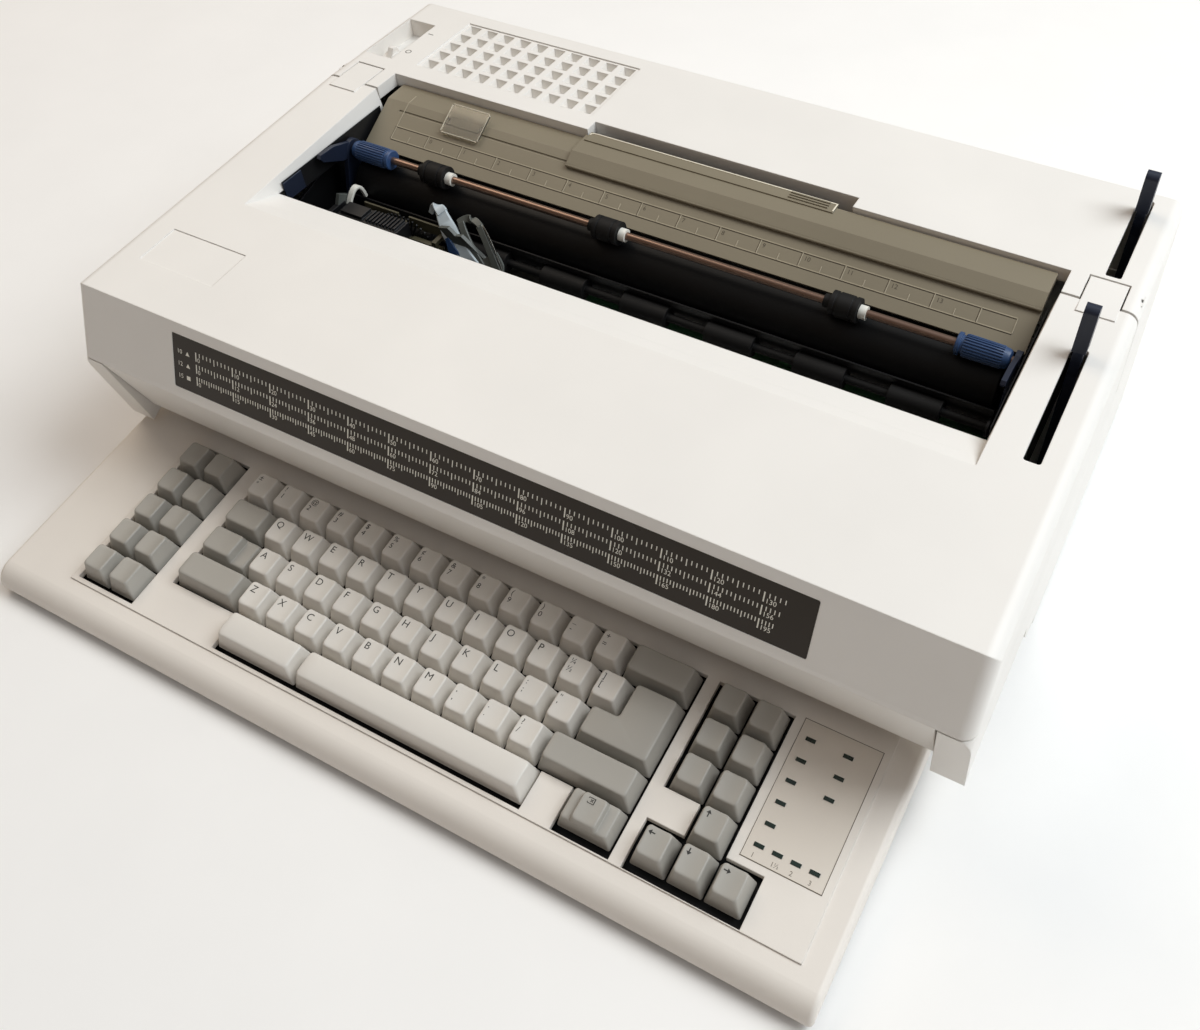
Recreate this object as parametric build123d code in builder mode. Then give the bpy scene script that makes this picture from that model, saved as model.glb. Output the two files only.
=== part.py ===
"""Electronic typewriter: covers, steel frame, platen, paper bail, carrier and a separate keyboard."""

from build123d import *
from math import atan2, cos, degrees, hypot, radians, sin, tan
import os

os.makedirs("parts", exist_ok=True)

# Overall sizes, with the origin on the desk under the middle of the whole machine
body_width = 524.0
body_depth = 334.0
body_height = 147.0
keyboard_reach = 106.0
overall_depth = body_depth + keyboard_reach
y_back = overall_depth / 2
y_nose = y_back - body_depth
wall = 3.0
side_draft = 1.2
side_round = 7.0
seam_gap = 0.8
fit_gap = 0.06
foot_height = 5.0

# Cover profile, seen from the side
face_foot_height = 92.6
face_length = 45.2
face_lean = 21.3
rear_cover_depth = 103.1
cover_seam = 1.5
lip_foot_height = 46.8
lip_setback = 15.9
arm_gap = 17.4
lip_gap = 1.0
arm_foot_height = 36.0
bay_height = 42.0
bay_rear = 20.0
bay_round = 30.0
y_seam = y_back - rear_cover_depth
arm_inner = body_width / 2 - arm_gap
lip_half_width = arm_inner - lip_gap
arm_toe = 12.0
bay_front = 24.0
face_top_y = y_nose + face_length * sin(radians(face_lean))
face_top_z = face_foot_height + face_length * cos(radians(face_lean))
slope_angle = degrees(atan2(body_height - face_top_z, y_seam - face_top_y))

# Opening over the platen
opening_gap = 43.2
opening_taper = 2.8
opening_corner = 3.0
opening_half = body_width / 2 - opening_gap
opening_inner_half = opening_half - opening_taper
opening_front = -8.4
opening_inner_front = 16.1
opening_inner_height = 132.0
opening_rear = 135.3

# Cover hinge
hinge_y = 130.1
hinge_z = 144.0
hinge_pin_radius = 1.5
tab_gap = 10.2
tab_width = 19.7
tab_inner = opening_half + tab_gap
tab_outer = tab_inner + tab_width
tab_notch_gap = 0.8
hinge_pin_inner = tab_inner - 8.4
hinge_pin_outer = tab_outer + 8.8
hinge_boss_half = 4.2
tab_reach = 5.5
tab_thickness = 6.0

# Levers at the right side
lever_gap = 22.8
lever_x = body_width / 2 - lever_gap
lever_slot_width = 8.4
lever_slot_corner = 1.5
lever_thickness = 5.0
lever_cap_width = 7.0
lever_cap_depth = 8.0
lever_cap_height = 24.0
lever_cap_foot = 3.0
lever_hub_radius = 9.0
bail_lever_y = 76.6
bail_cap_y = 80.5
release_lever_y = 199.5
release_cap_y = 199.0
bail_slot_front = 4.2
bail_slot_length = 77.6
release_slot_front = 139.5
release_slot_length = 73.1

# Platen and its drive
platen_y = 84.0
platen_z = 103.1
platen_radius = 19.0
platen_shaft_radius = 4.0
gear_pitch_radius = 22.0
gear_teeth = 44
pinion_teeth = 12
gear_width = 5.0
motor_radius = 17.0
motor_angle = -30.0

# Paper bail
bail_y = 77.1
bail_z = 128.5
bail_shaft_radius = 2.25
bail_roller_radius = 7.0
bail_roller_width = 15.6
bail_roller_places = (-146.9, -26.7, 119.1)
bail_groove = 4.6
bail_bush_width = 4.0
bail_bush_radius = 3.8
bail_knob_radius = 6.25
bail_knob_length = 28.6
bail_pivot_y = 62.0
bail_pivot_z = 65.0
bail_arm_gap = 5.6
bail_arm_inner = opening_inner_half - bail_arm_gap
bail_knob_outer = bail_arm_inner - 1.5
bail_knob_inner = bail_knob_outer - bail_knob_length
platen_half = bail_arm_inner - 3.4
bail_arm_thickness = 3.0
stub_radius = 4.0

# Paper release
release_pivot_y = 180.0
release_pivot_z = 62.0

# Paper table and support
table_side_gap = 5.8
table_half = opening_half - table_side_gap
table_foot_y = 88.8
table_slope = 29.0
table_foot_z = 123.94
table_bend_y = 118.6
table_rear_gap = 0.6
table_thickness = 2.0
support_left = -75.0
support_lift = 0.3
support_foot_y = 110.0
support_thickness = 2.4
support_lip_left = -73.0
support_lip_right = 88.0
notch_left = -74.5
notch_right = 97.0
notch_depth = 9.1
rim_side = 1.5
rim_wall = 2.4
rim_depth = 8.5
notch_rim_depth = 18.0

# Vent field and power switch recess in the rear cover
vent_left = -213.0
vent_width = 132.8
vent_front = 149.3
vent_depth = 59.8
vent_recess = 0.8
vent_rows = 5
vent_columns = 10
vent_pocket = 8.6
vent_pocket_depth = 5.6
vent_block = 7.4
switch_left = -(body_width / 2 - 8.9)
switch_width = 20.7
switch_front = 148.6
switch_length = 47.5
switch_depth = 12.0
switch_floor = 6.0
rocker_radius = 9.0
rocker_width = 9.0
rocker_y = 162.0
trunnion_radius = 1.4
trunnion_length = 3.0

# Steel frame
frame_gap = 8.0
frame_inner = opening_inner_half + frame_gap
frame_thickness = 2.0
frame_front = -62.0
rear_rail_y = 40.0
front_rail_y = -30.0
rail_z = 60.0
cross_rail_y = 112.0
cross_rail_z = 70.0
cross_rail_depth = 14.0
cross_rail_height = 12.0
rear_rail_radius = 5.0
front_rail_radius = 4.0
bush_radius = 7.5
bush_flange_radius = 9.5
bush_flange = 1.2

# Carrier and its belt
carrier_gap = 7.4
carrier_width = 118.0
carrier_left = -(bail_arm_inner - carrier_gap)
carrier_right = carrier_left + carrier_width
carrier_top = 88.0
carrier_floor = 68.0
carrier_plate = 3.0
carrier_plate_top = 111.0
cartridge_foot = 89.0
cartridge_top = 101.0
pulley_gap = 18.0
pulley_x = frame_inner - pulley_gap
pulley_y = 38.0
pulley_radius = 8.0
pulley_flange = 1.5
pulley_shaft_radius = 2.0
belt_foot = 47.4
belt_width = 5.0
belt_thickness = 1.2
print_offset = 43.0
print_x = carrier_left + print_offset
wheel_y = 52.0
wheel_radius = 24.5
wheel_disc_radius = 12.0
wheel_spokes = 48

# Keyboard
kb_left = -258.0
kb_right = 240.0
kb_depth = 167.0
kb_wall = 2.5
kb_foot = 2.0
kb_slope = 7.0
kb_deck_rise = 0.8
kb_corner = 3.0
kb_nose = 12.0
kb_toe = 3.0
deck_left = -213.9
deck_right = 226.5
deck_front = -205.4
kb_front = -overall_depth / 2
kb_rear = kb_front + kb_depth
row_origin_y = -112.14
row_origin_z = 30.47

# Keys, counted in key units from the left edge of the number row
unit = 19.05
key_gap = 0.85
keys_left = -157.38
key_height = 9.53
key_skirt = 3.0
key_side_slope = 2.9
key_front_slope = 3.2
key_rear_slope = 1.2
key_wall = 1.2
key_travel = 3.8
key_stem_radius = 2.4
key_foot_corner = 1.0
key_top_corner = 2.0
row_heights = (0.0, -0.74, -1.27, -0.16, 0.3)
plate_depth = 11.5
plate_thickness = 1.5
housing_width = 13.6
housing_height = 5.0


def save(piece, label):
    """Label a finished piece and write it to its own file."""
    piece.part.label = label
    export_step(piece.part, f"parts/{label}.step")


def outline(points, x_from, x_to, mode=Mode.ADD):
    """A straight-sided outline in Y and Z, carried along X."""
    with BuildSketch(Plane.YZ.offset(x_from)) as side:
        with BuildLine():
            Polyline(*points, close=True)
        make_face()
    extrude(side.sketch, amount=x_to - x_from, mode=mode)


def rod(y, z, radius, x_from, x_to, mode=Mode.ADD):
    """A round bar, or a round hole, along X."""
    with BuildSketch(Plane.YZ.offset(x_from)) as section:
        with Locations((y, z)):
            Circle(radius)
    extrude(section.sketch, amount=x_to - x_from, mode=mode)


def block(x_from, x_to, y_from, y_to, z_from, z_to, mode=Mode.ADD):
    """A block between two places on each axis."""
    with BuildSketch(Plane.XY.offset(z_from)) as section:
        with Locations(((x_from + x_to) / 2, (y_from + y_to) / 2)):
            Rectangle(x_to - x_from, y_to - y_from)
    extrude(section.sketch, amount=z_to - z_from, mode=mode)


def post(x, y, radius, z_from, z_to, mode=Mode.ADD):
    """An upright round post, or an upright round hole."""
    with BuildSketch(Plane.XY.offset(z_from)) as section:
        with Locations((x, y)):
            Circle(radius)
    extrude(section.sketch, amount=z_to - z_from, mode=mode)


def body_form(inset, rounding):
    """The whole body's outside shape, or the space left inside a wall as thick as the inset."""
    half = body_width / 2
    slant = Vector(cos(radians(side_draft)), 0, sin(radians(side_draft)))
    with BuildPart() as form:
        with BuildSketch(Plane.YZ.offset(-half)) as side:
            with BuildLine():
                Polyline(
                    (y_nose, face_foot_height),
                    (face_top_y, face_top_z),
                    (y_seam, body_height),
                    (y_back, body_height),
                    (y_back, foot_height),
                    (bay_rear, foot_height),
                    (bay_rear, bay_height - bay_round),
                )
                RadiusArc(
                    (bay_rear, bay_height - bay_round),
                    (bay_rear - bay_round, bay_height),
                    bay_round,
                )
                Polyline(
                    (bay_rear - bay_round, bay_height),
                    (y_nose + bay_front, bay_height),
                    (y_nose + arm_toe, arm_foot_height),
                    (y_nose, face_foot_height),
                )
            make_face()
            if inset:
                offset(amount=-inset, mode=Mode.REPLACE)
        extrude(side.sketch, amount=2 * half)
        for turn in (1, -1):
            place = Vector(turn * (half - inset), 0, foot_height)
            split(bisect_by=Plane(place, z_dir=(turn * slant.X, 0, slant.Z)), keep=Keep.BOTTOM)
        side_edges = [
            edge
            for edge in form.edges()
            if abs(edge.center().X) > half - inset - 5
            and abs(edge.center().X) > abs(edge.bounding_box().size.X) * 5
            and (edge.center().Z > face_foot_height or edge.center().Y > y_back - inset - 1)
            and edge.center().Z > foot_height + inset + 1
        ]
        fillet(side_edges, rounding)
    return form.part


outer_form = body_form(0, side_round)
inner_form = body_form(wall, side_round - wall)
face_plane = Plane(
    origin=(0, face_top_y, face_top_z),
    x_dir=(1, 0, 0),
    z_dir=(0, -cos(radians(face_lean)), sin(radians(face_lean))),
)
slope_plane = Plane(
    origin=(0, face_top_y, face_top_z),
    x_dir=(1, 0, 0),
    z_dir=(0, -sin(radians(slope_angle)), cos(radians(slope_angle))),
)
cover_clear_y = y_seam - cover_seam
lip_foot_y = y_nose + lip_setback
above = body_height + 20

# Access cover: front cover with the opening, the face, the lip below it and two hinge tabs
window_left = -188.3
window_right = 183.0
window_top = 6.4
window_foot = 38.3
window_seat = 1.2
window_sink = 0.25
window_corner = 1.0
nameplate_left = -body_width / 2 + 22.3
nameplate_width = 53.2
nameplate_front = -68.6
nameplate_depth = 27.0
nameplate_recess = 0.4
slope_at_opening = face_top_z + (opening_front - face_top_y) * tan(radians(slope_angle))
with BuildPart() as access_cover:
    add(outer_form)
    add(inner_form, mode=Mode.SUBTRACT)
    outline(
        [
            (y_nose - 30, face_foot_height + seam_gap / 2),
            (cover_clear_y, face_foot_height + seam_gap / 2),
            (cover_clear_y, above),
            (y_nose - 30, above),
        ],
        -body_width,
        body_width,
        mode=Mode.INTERSECT,
    )
    outline(
        [
            (y_nose, face_foot_height + 1),
            (lip_foot_y, lip_foot_height),
            (lip_foot_y + wall, lip_foot_height),
            (y_nose + wall + 1, face_foot_height + 6),
            (y_nose + wall, face_foot_height + 6),
        ],
        -lip_half_width,
        lip_half_width,
    )
    outline(
        [
            (opening_front - wall, slope_at_opening - 0.5),
            (opening_front, slope_at_opening - 0.2),
            (opening_inner_front, opening_inner_height),
            (opening_inner_front, opening_inner_height - wall),
            (opening_front - wall, slope_at_opening - wall - 3),
        ],
        -opening_half - wall + 1,
        opening_half + wall - 1,
    )
    with BuildPart(mode=Mode.PRIVATE) as flanges:
        for side in (-1, 1):
            with BuildSketch(Plane.XZ.offset(-cover_clear_y)) as flange:
                with BuildLine():
                    Polyline(
                        (side * opening_half, body_height),
                        (side * opening_inner_half, opening_inner_height),
                        (side * (opening_inner_half + wall), opening_inner_height),
                        (side * (opening_half + wall), body_height),
                        close=True,
                    )
                make_face()
            extrude(flange.sketch, amount=cover_clear_y - opening_front)
        add(outer_form, mode=Mode.INTERSECT)
    add(flanges.part)
    for side in (-1, 1):
        block(
            min(side * tab_inner, side * tab_outer),
            max(side * tab_inner, side * tab_outer),
            cover_clear_y - 9,
            hinge_y + tab_reach,
            body_height - tab_thickness,
            body_height,
        )
        rod(
            hinge_y,
            hinge_z,
            hinge_pin_radius + fit_gap,
            side * body_width / 2,
            side * opening_half,
            mode=Mode.SUBTRACT,
        )
    with BuildSketch(Plane.XZ.offset(-above)) as mouth:
        with BuildLine():
            Polyline(
                (-opening_half, above),
                (-opening_half, body_height),
                (-opening_inner_half, opening_inner_height),
                (-opening_inner_half, opening_inner_height - 20),
                (opening_inner_half, opening_inner_height - 20),
                (opening_inner_half, opening_inner_height),
                (opening_half, body_height),
                (opening_half, above),
                close=True,
            )
        make_face()
    with BuildPart(mode=Mode.PRIVATE) as mouth_space:
        extrude(mouth.sketch, amount=2 * above)
        outline(
            [
                (opening_front, slope_at_opening),
                (opening_inner_front, opening_inner_height),
                (opening_inner_front, 0),
                (y_back, 0),
                (y_back, above),
                (opening_front, above),
            ],
            -body_width,
            body_width,
            mode=Mode.INTERSECT,
        )
        fillet(mouth_space.edges().filter_by(Axis.Z).sort_by(Axis.Y)[:2], opening_corner)
    add(mouth_space.part, mode=Mode.SUBTRACT)
    with BuildSketch(Plane.XY.offset(body_height - 30)) as slot:
        with Locations((lever_x, bail_slot_front + bail_slot_length / 2)):
            RectangleRounded(lever_slot_width, bail_slot_length, lever_slot_corner)
    extrude(slot.sketch, amount=60, mode=Mode.SUBTRACT)
    with BuildSketch(face_plane) as window_recess:
        with Locations(((window_left + window_right) / 2, -(window_top + window_foot) / 2)):
            RectangleRounded(window_right - window_left, window_foot - window_top, window_corner)
    extrude(window_recess.sketch, amount=-window_seat, mode=Mode.SUBTRACT)
    with BuildSketch(slope_plane) as nameplate:
        with Locations(
            (nameplate_left + nameplate_width / 2, nameplate_front - face_top_y + nameplate_depth / 2)
        ):
            Rectangle(nameplate_width, nameplate_depth)
    extrude(nameplate.sketch, amount=-nameplate_recess, mode=Mode.SUBTRACT)
save(access_cover, "access_cover")

# Margin window: smoked pane let into the face
with BuildPart() as margin_window:
    with BuildSketch(face_plane.offset(-window_seat)) as pane:
        with Locations(((window_left + window_right) / 2, -(window_top + window_foot) / 2)):
            RectangleRounded(
                window_right - window_left - 2 * fit_gap,
                window_foot - window_top - 2 * fit_gap,
                window_corner - fit_gap,
            )
    extrude(pane.sketch, amount=window_seat - window_sink)
save(margin_window, "margin_window")

# Rear cover: top, back and sides behind the seam, with the notches, vent field and switch recess
notch_clear = hypot(tab_reach, body_height - hinge_z) + 0.4
boss_height = 4.6
with BuildPart() as rear_cover:
    add(outer_form)
    add(inner_form, mode=Mode.SUBTRACT)
    outline(
        [
            (y_seam, face_foot_height + seam_gap / 2),
            (y_back + 1, face_foot_height + seam_gap / 2),
            (y_back + 1, above),
            (y_seam, above),
        ],
        -body_width,
        body_width,
        mode=Mode.INTERSECT,
    )
    for side in (-1, 1):
        for edge_x in (tab_inner - 5, tab_outer + 5):
            block(
                side * edge_x - hinge_boss_half,
                side * edge_x + hinge_boss_half,
                hinge_y - 4,
                hinge_y + 4,
                body_height - wall - boss_height,
                body_height - wall + 1,
            )
        block(
            side * (tab_inner + tab_outer) / 2 - tab_width / 2 - tab_notch_gap,
            side * (tab_inner + tab_outer) / 2 + tab_width / 2 + tab_notch_gap,
            y_seam - 1,
            hinge_y + notch_clear,
            body_height - 20,
            above,
            mode=Mode.SUBTRACT,
        )
        rod(
            hinge_y,
            hinge_z,
            hinge_pin_radius,
            side * hinge_pin_outer,
            side * hinge_pin_inner,
            mode=Mode.SUBTRACT,
        )
    block(
        -opening_half - rim_side,
        opening_half + rim_side,
        y_seam,
        opening_rear + rim_wall,
        body_height - rim_depth,
        body_height - 1,
    )
    block(
        notch_left - rim_wall,
        notch_right + rim_wall,
        opening_rear,
        opening_rear + notch_depth + rim_wall,
        body_height - notch_rim_depth,
        body_height - 1,
    )
    block(
        -opening_half, opening_half, y_seam - 1, opening_rear, body_height - 20, above, mode=Mode.SUBTRACT
    )
    block(
        notch_left,
        notch_right,
        opening_rear - 1,
        opening_rear + notch_depth,
        body_height - 20,
        above,
        mode=Mode.SUBTRACT,
    )
    block(
        vent_left,
        vent_left + vent_width,
        vent_front,
        vent_front + vent_depth,
        body_height - vent_block,
        body_height - vent_recess,
    )
    block(
        vent_left,
        vent_left + vent_width,
        vent_front,
        vent_front + vent_depth,
        body_height - vent_recess,
        above,
        mode=Mode.SUBTRACT,
    )
    with BuildSketch(Plane.XY.offset(body_height - vent_recess)) as pockets:
        with Locations((vent_left + vent_width / 2, vent_front + vent_depth / 2)):
            with GridLocations(vent_width / vent_columns, vent_depth / vent_rows, vent_columns, vent_rows):
                Rectangle(vent_pocket, vent_pocket)
    extrude(pockets.sketch, amount=-vent_pocket_depth, taper=12, mode=Mode.SUBTRACT)
    block(
        switch_left - wall,
        switch_left + switch_width + wall,
        switch_front - wall,
        switch_front + switch_length + wall,
        body_height - switch_depth - switch_floor,
        body_height - 1,
    )
    block(
        switch_left,
        switch_left + switch_width,
        switch_front,
        switch_front + switch_length,
        body_height - switch_depth,
        above,
        mode=Mode.SUBTRACT,
    )
    rocker_x = switch_left + switch_width / 2
    rod(
        rocker_y,
        body_height - switch_depth - 2,
        rocker_radius + 0.6,
        rocker_x - rocker_width / 2 - 0.5,
        rocker_x + rocker_width / 2 + 0.5,
        mode=Mode.SUBTRACT,
    )
    rod(
        rocker_y,
        body_height - switch_depth - 2,
        trunnion_radius + fit_gap,
        rocker_x - rocker_width / 2 - trunnion_length - 0.2,
        rocker_x + rocker_width / 2 + trunnion_length + 0.2,
        mode=Mode.SUBTRACT,
    )
    with BuildSketch(Plane.XY.offset(body_height - 30)) as rear_slot:
        with Locations((lever_x, release_slot_front + release_slot_length / 2)):
            RectangleRounded(lever_slot_width, release_slot_length, lever_slot_corner)
    extrude(rear_slot.sketch, amount=60, mode=Mode.SUBTRACT)
save(rear_cover, "rear_cover")

# Cover hinge pins: steel pins through the tabs, pressed into the rear cover's bosses
with BuildPart() as cover_hinge_pins:
    for side in (-1, 1):
        rod(hinge_y, hinge_z, hinge_pin_radius, side * hinge_pin_outer, side * hinge_pin_inner)
save(cover_hinge_pins, "cover_hinge_pins")

# Power rocker: drum with a fin, turning on its own trunnions in the recess floor
rocker_z = body_height - switch_depth - 2
with BuildPart() as power_rocker:
    rod(
        rocker_y,
        rocker_z,
        trunnion_radius,
        rocker_x - rocker_width / 2 - trunnion_length,
        rocker_x + rocker_width / 2 + trunnion_length,
    )
    rod(rocker_y, rocker_z, rocker_radius, rocker_x - rocker_width / 2, rocker_x + rocker_width / 2)
    outline(
        [
            (rocker_y - 8, rocker_z + 3),
            (rocker_y + 8, rocker_z + 3),
            (rocker_y + 2, body_height - 1.2),
            (rocker_y - 1, body_height - 1.2),
        ],
        rocker_x - rocker_width / 2 + 2.5,
        rocker_x + rocker_width / 2 - 2.5,
    )
save(power_rocker, "power_rocker")

# Base pan: floor raised over the keyboard bay, side walls and an arm each side of the bay
pan_front = y_nose + bay_front - 2
inlet_x = 166.0
inlet_z = 52.0
inlet_half_width = 15.9
inlet_half_height = 11.9
inlet_clear = 0.1
with BuildPart() as base_pan:
    add(outer_form)
    add(inner_form, mode=Mode.SUBTRACT)
    block(
        -body_width,
        body_width,
        y_nose - 30,
        y_back + 1,
        0,
        face_foot_height - seam_gap / 2,
        mode=Mode.INTERSECT,
    )
    block(-arm_inner, arm_inner, y_nose - 30, pan_front, 0, body_height, mode=Mode.SUBTRACT)
    block(-arm_inner - wall, arm_inner + wall, pan_front, pan_front + wall, bay_height, face_foot_height - 2)
    for side in (-1, 1):
        outline(
            [
                (y_nose + 1, face_foot_height - seam_gap / 2),
                (y_nose + arm_toe + wall / 2, arm_foot_height + wall / 2),
                (pan_front + wall, bay_height + 1),
                (pan_front + wall, face_foot_height - seam_gap / 2),
            ],
            min(side * arm_inner, side * (arm_inner + wall)),
            max(side * arm_inner, side * (arm_inner + wall)),
        )
    floor_z = foot_height + wall
    block(
        inlet_x - inlet_half_width - inlet_clear,
        inlet_x + inlet_half_width + inlet_clear,
        y_back - wall - 1,
        y_back + 1,
        inlet_z - inlet_half_height - inlet_clear,
        inlet_z + inlet_half_height + inlet_clear,
        mode=Mode.SUBTRACT,
    )
save(base_pan, "base_pan")

# Machine frame: two steel side plates joined by cross members, standing on the pan's floor
frame_rear = y_back - 14
frame_outline = [
    (bay_rear + wall + 1.6, floor_z),
    (frame_rear, floor_z),
    (frame_rear, release_pivot_z + 34),
    (cross_rail_y + 28, platen_z + 22.9),
    (platen_y + 12, platen_z + 24.9),
    (bail_pivot_y - 2, platen_z + 14.9),
    (frame_front, rail_z + 24),
    (frame_front, bay_height + wall),
    (bay_rear - bay_round, bay_height + wall),
]
frame_outline += [
    (
        bay_rear - bay_round + (bay_round + wall + 2) * cos(radians(angle)),
        bay_height - bay_round + (bay_round + wall + 2) * sin(radians(angle)),
    )
    for angle in (75, 45, 15)
]
with BuildPart() as machine_frame:
    outline(frame_outline, frame_inner, frame_inner + frame_thickness)
    outline(frame_outline, -frame_inner - frame_thickness, -frame_inner)
    outline(
        [
            (cross_rail_y, cross_rail_z),
            (cross_rail_y + cross_rail_depth, cross_rail_z),
            (cross_rail_y + cross_rail_depth, cross_rail_z + cross_rail_height),
            (cross_rail_y + cross_rail_depth - frame_thickness, cross_rail_z + cross_rail_height),
            (cross_rail_y + cross_rail_depth - frame_thickness, cross_rail_z + frame_thickness),
            (cross_rail_y + frame_thickness, cross_rail_z + frame_thickness),
            (cross_rail_y + frame_thickness, cross_rail_z + cross_rail_height),
            (cross_rail_y, cross_rail_z + cross_rail_height),
        ],
        -frame_inner - 1,
        frame_inner + 1,
    )
    block(
        -frame_inner - 1,
        frame_inner + 1,
        frame_front,
        frame_front + cross_rail_height,
        bay_height + wall,
        bay_height + wall + frame_thickness,
    )
    block(
        -frame_inner - 1,
        frame_inner + 1,
        frame_rear - cross_rail_height,
        frame_rear,
        floor_z,
        floor_z + frame_thickness,
    )
    for y, z in ((platen_y, platen_z), (bail_pivot_y, bail_pivot_z), (release_pivot_y, release_pivot_z)):
        rod(y, z, bush_radius + fit_gap, -body_width, body_width, mode=Mode.SUBTRACT)
    rod(rear_rail_y, rail_z, rear_rail_radius + fit_gap, -body_width, body_width, mode=Mode.SUBTRACT)
    rod(front_rail_y, rail_z, front_rail_radius + fit_gap, -body_width, body_width, mode=Mode.SUBTRACT)
save(machine_frame, "machine_frame")

# Frame bushes: flanged sintered bushes for the platen, bail and release shafts
with BuildPart() as frame_bushes:
    for y, z, radius in (
        (platen_y, platen_z, platen_shaft_radius),
        (bail_pivot_y, bail_pivot_z, stub_radius),
        (release_pivot_y, release_pivot_z, stub_radius),
    ):
        for side in (-1, 1):
            rod(y, z, bush_radius, side * (frame_inner - 0.4), side * (frame_inner + frame_thickness))
            rod(
                y,
                z,
                bush_flange_radius,
                side * (frame_inner + frame_thickness),
                side * (frame_inner + frame_thickness + bush_flange),
            )
        rod(y, z, radius + fit_gap, -body_width, body_width, mode=Mode.SUBTRACT)
save(frame_bushes, "frame_bushes")

# Guide rails: two ground steel rods the carrier slides on
with BuildPart() as guide_rails:
    rod(rear_rail_y, rail_z, rear_rail_radius, -frame_inner - 4, frame_inner + 4)
    rod(front_rail_y, rail_z, front_rail_radius, -frame_inner - 4, frame_inner + 4)
    chamfer(guide_rails.edges().filter_by(GeomType.CIRCLE), 0.6)
save(guide_rails, "guide_rails")

# Platen: rubber sleeve on a steel shaft, with a drive gear outside the left side plate
gear_x = -(frame_inner + frame_thickness + bush_flange + 1.0)
with BuildPart() as platen_roller:
    rod(platen_y, platen_z, platen_radius, -platen_half, platen_half)
    rod(platen_y, platen_z, platen_shaft_radius, -platen_half, platen_half, mode=Mode.SUBTRACT)
    chamfer(
        platen_roller.edges().filter_by(GeomType.CIRCLE).filter_by(lambda e: e.radius > platen_radius - 1),
        0.8,
    )
save(platen_roller, "platen_roller")

with BuildPart() as platen_shaft:
    rod(platen_y, platen_z, platen_shaft_radius, gear_x - gear_width - 2, frame_inner + 8)
save(platen_shaft, "platen_shaft")


def shaft_plane(x, y, z):
    """Plane square to X, centred on a shaft."""
    return Plane(origin=(x, y, z), x_dir=(0, 1, 0), z_dir=(1, 0, 0))


def gear(teeth, pitch_radius, bore, turn):
    """Flat-sided spur gear outline centred on its axis, with a bore."""
    module = 2 * pitch_radius / teeth
    Circle(pitch_radius - 1.2 * module)
    step = 360 / teeth
    with PolarLocations(0, teeth, start_angle=turn):
        Polygon(
            (pitch_radius - 1.5 * module, -0.24 * step * radians(1) * pitch_radius * 1.35),
            (pitch_radius + 0.8 * module, -0.24 * step * radians(1) * pitch_radius * 0.5),
            (pitch_radius + 0.8 * module, 0.24 * step * radians(1) * pitch_radius * 0.5),
            (pitch_radius - 1.5 * module, 0.24 * step * radians(1) * pitch_radius * 1.35),
            align=None,
        )
    Circle(bore, mode=Mode.SUBTRACT)


pinion_pitch_radius = gear_pitch_radius * pinion_teeth / gear_teeth
motor_y = platen_y + (gear_pitch_radius + pinion_pitch_radius) * cos(radians(motor_angle))
motor_z = platen_z + (gear_pitch_radius + pinion_pitch_radius) * sin(radians(motor_angle))
motor_shaft_radius = 2.0
with BuildPart() as platen_gear:
    with BuildSketch(shaft_plane(gear_x - gear_width, platen_y, platen_z)) as teeth:
        gear(gear_teeth, gear_pitch_radius, platen_shaft_radius, motor_angle)
    extrude(teeth.sketch, amount=gear_width)
save(platen_gear, "platen_gear")

# Pinion: a half-tooth turn puts a gap where the gear's tooth stands
with BuildPart() as platen_pinion:
    with BuildSketch(shaft_plane(gear_x - gear_width, motor_y, motor_z)) as teeth:
        gear(pinion_teeth, pinion_pitch_radius, 0.9, 180 + motor_angle + 180 / pinion_teeth)
    extrude(teeth.sketch, amount=gear_width)
    rod(motor_y, motor_z, motor_shaft_radius, gear_x - gear_width - 9, gear_x - gear_width)
save(platen_pinion, "platen_pinion")

# Platen motor: a flat stepper on posts from the left side plate
motor_face = gear_x - gear_width - 4
motor_thickness = 14.0
with BuildPart() as platen_motor:
    rod(motor_y, motor_z, motor_radius, motor_face - motor_thickness, motor_face)
    for angle in (10, 70, -110):
        rod(
            motor_y + 13.5 * cos(radians(angle)),
            motor_z + 13.5 * sin(radians(angle)),
            2.2,
            motor_face - 1,
            -frame_inner - frame_thickness,
        )
    rod(
        motor_y,
        motor_z,
        motor_shaft_radius + fit_gap,
        gear_x - gear_width - 9.3,
        motor_face,
        mode=Mode.SUBTRACT,
    )
save(platen_motor, "platen_motor")

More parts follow.
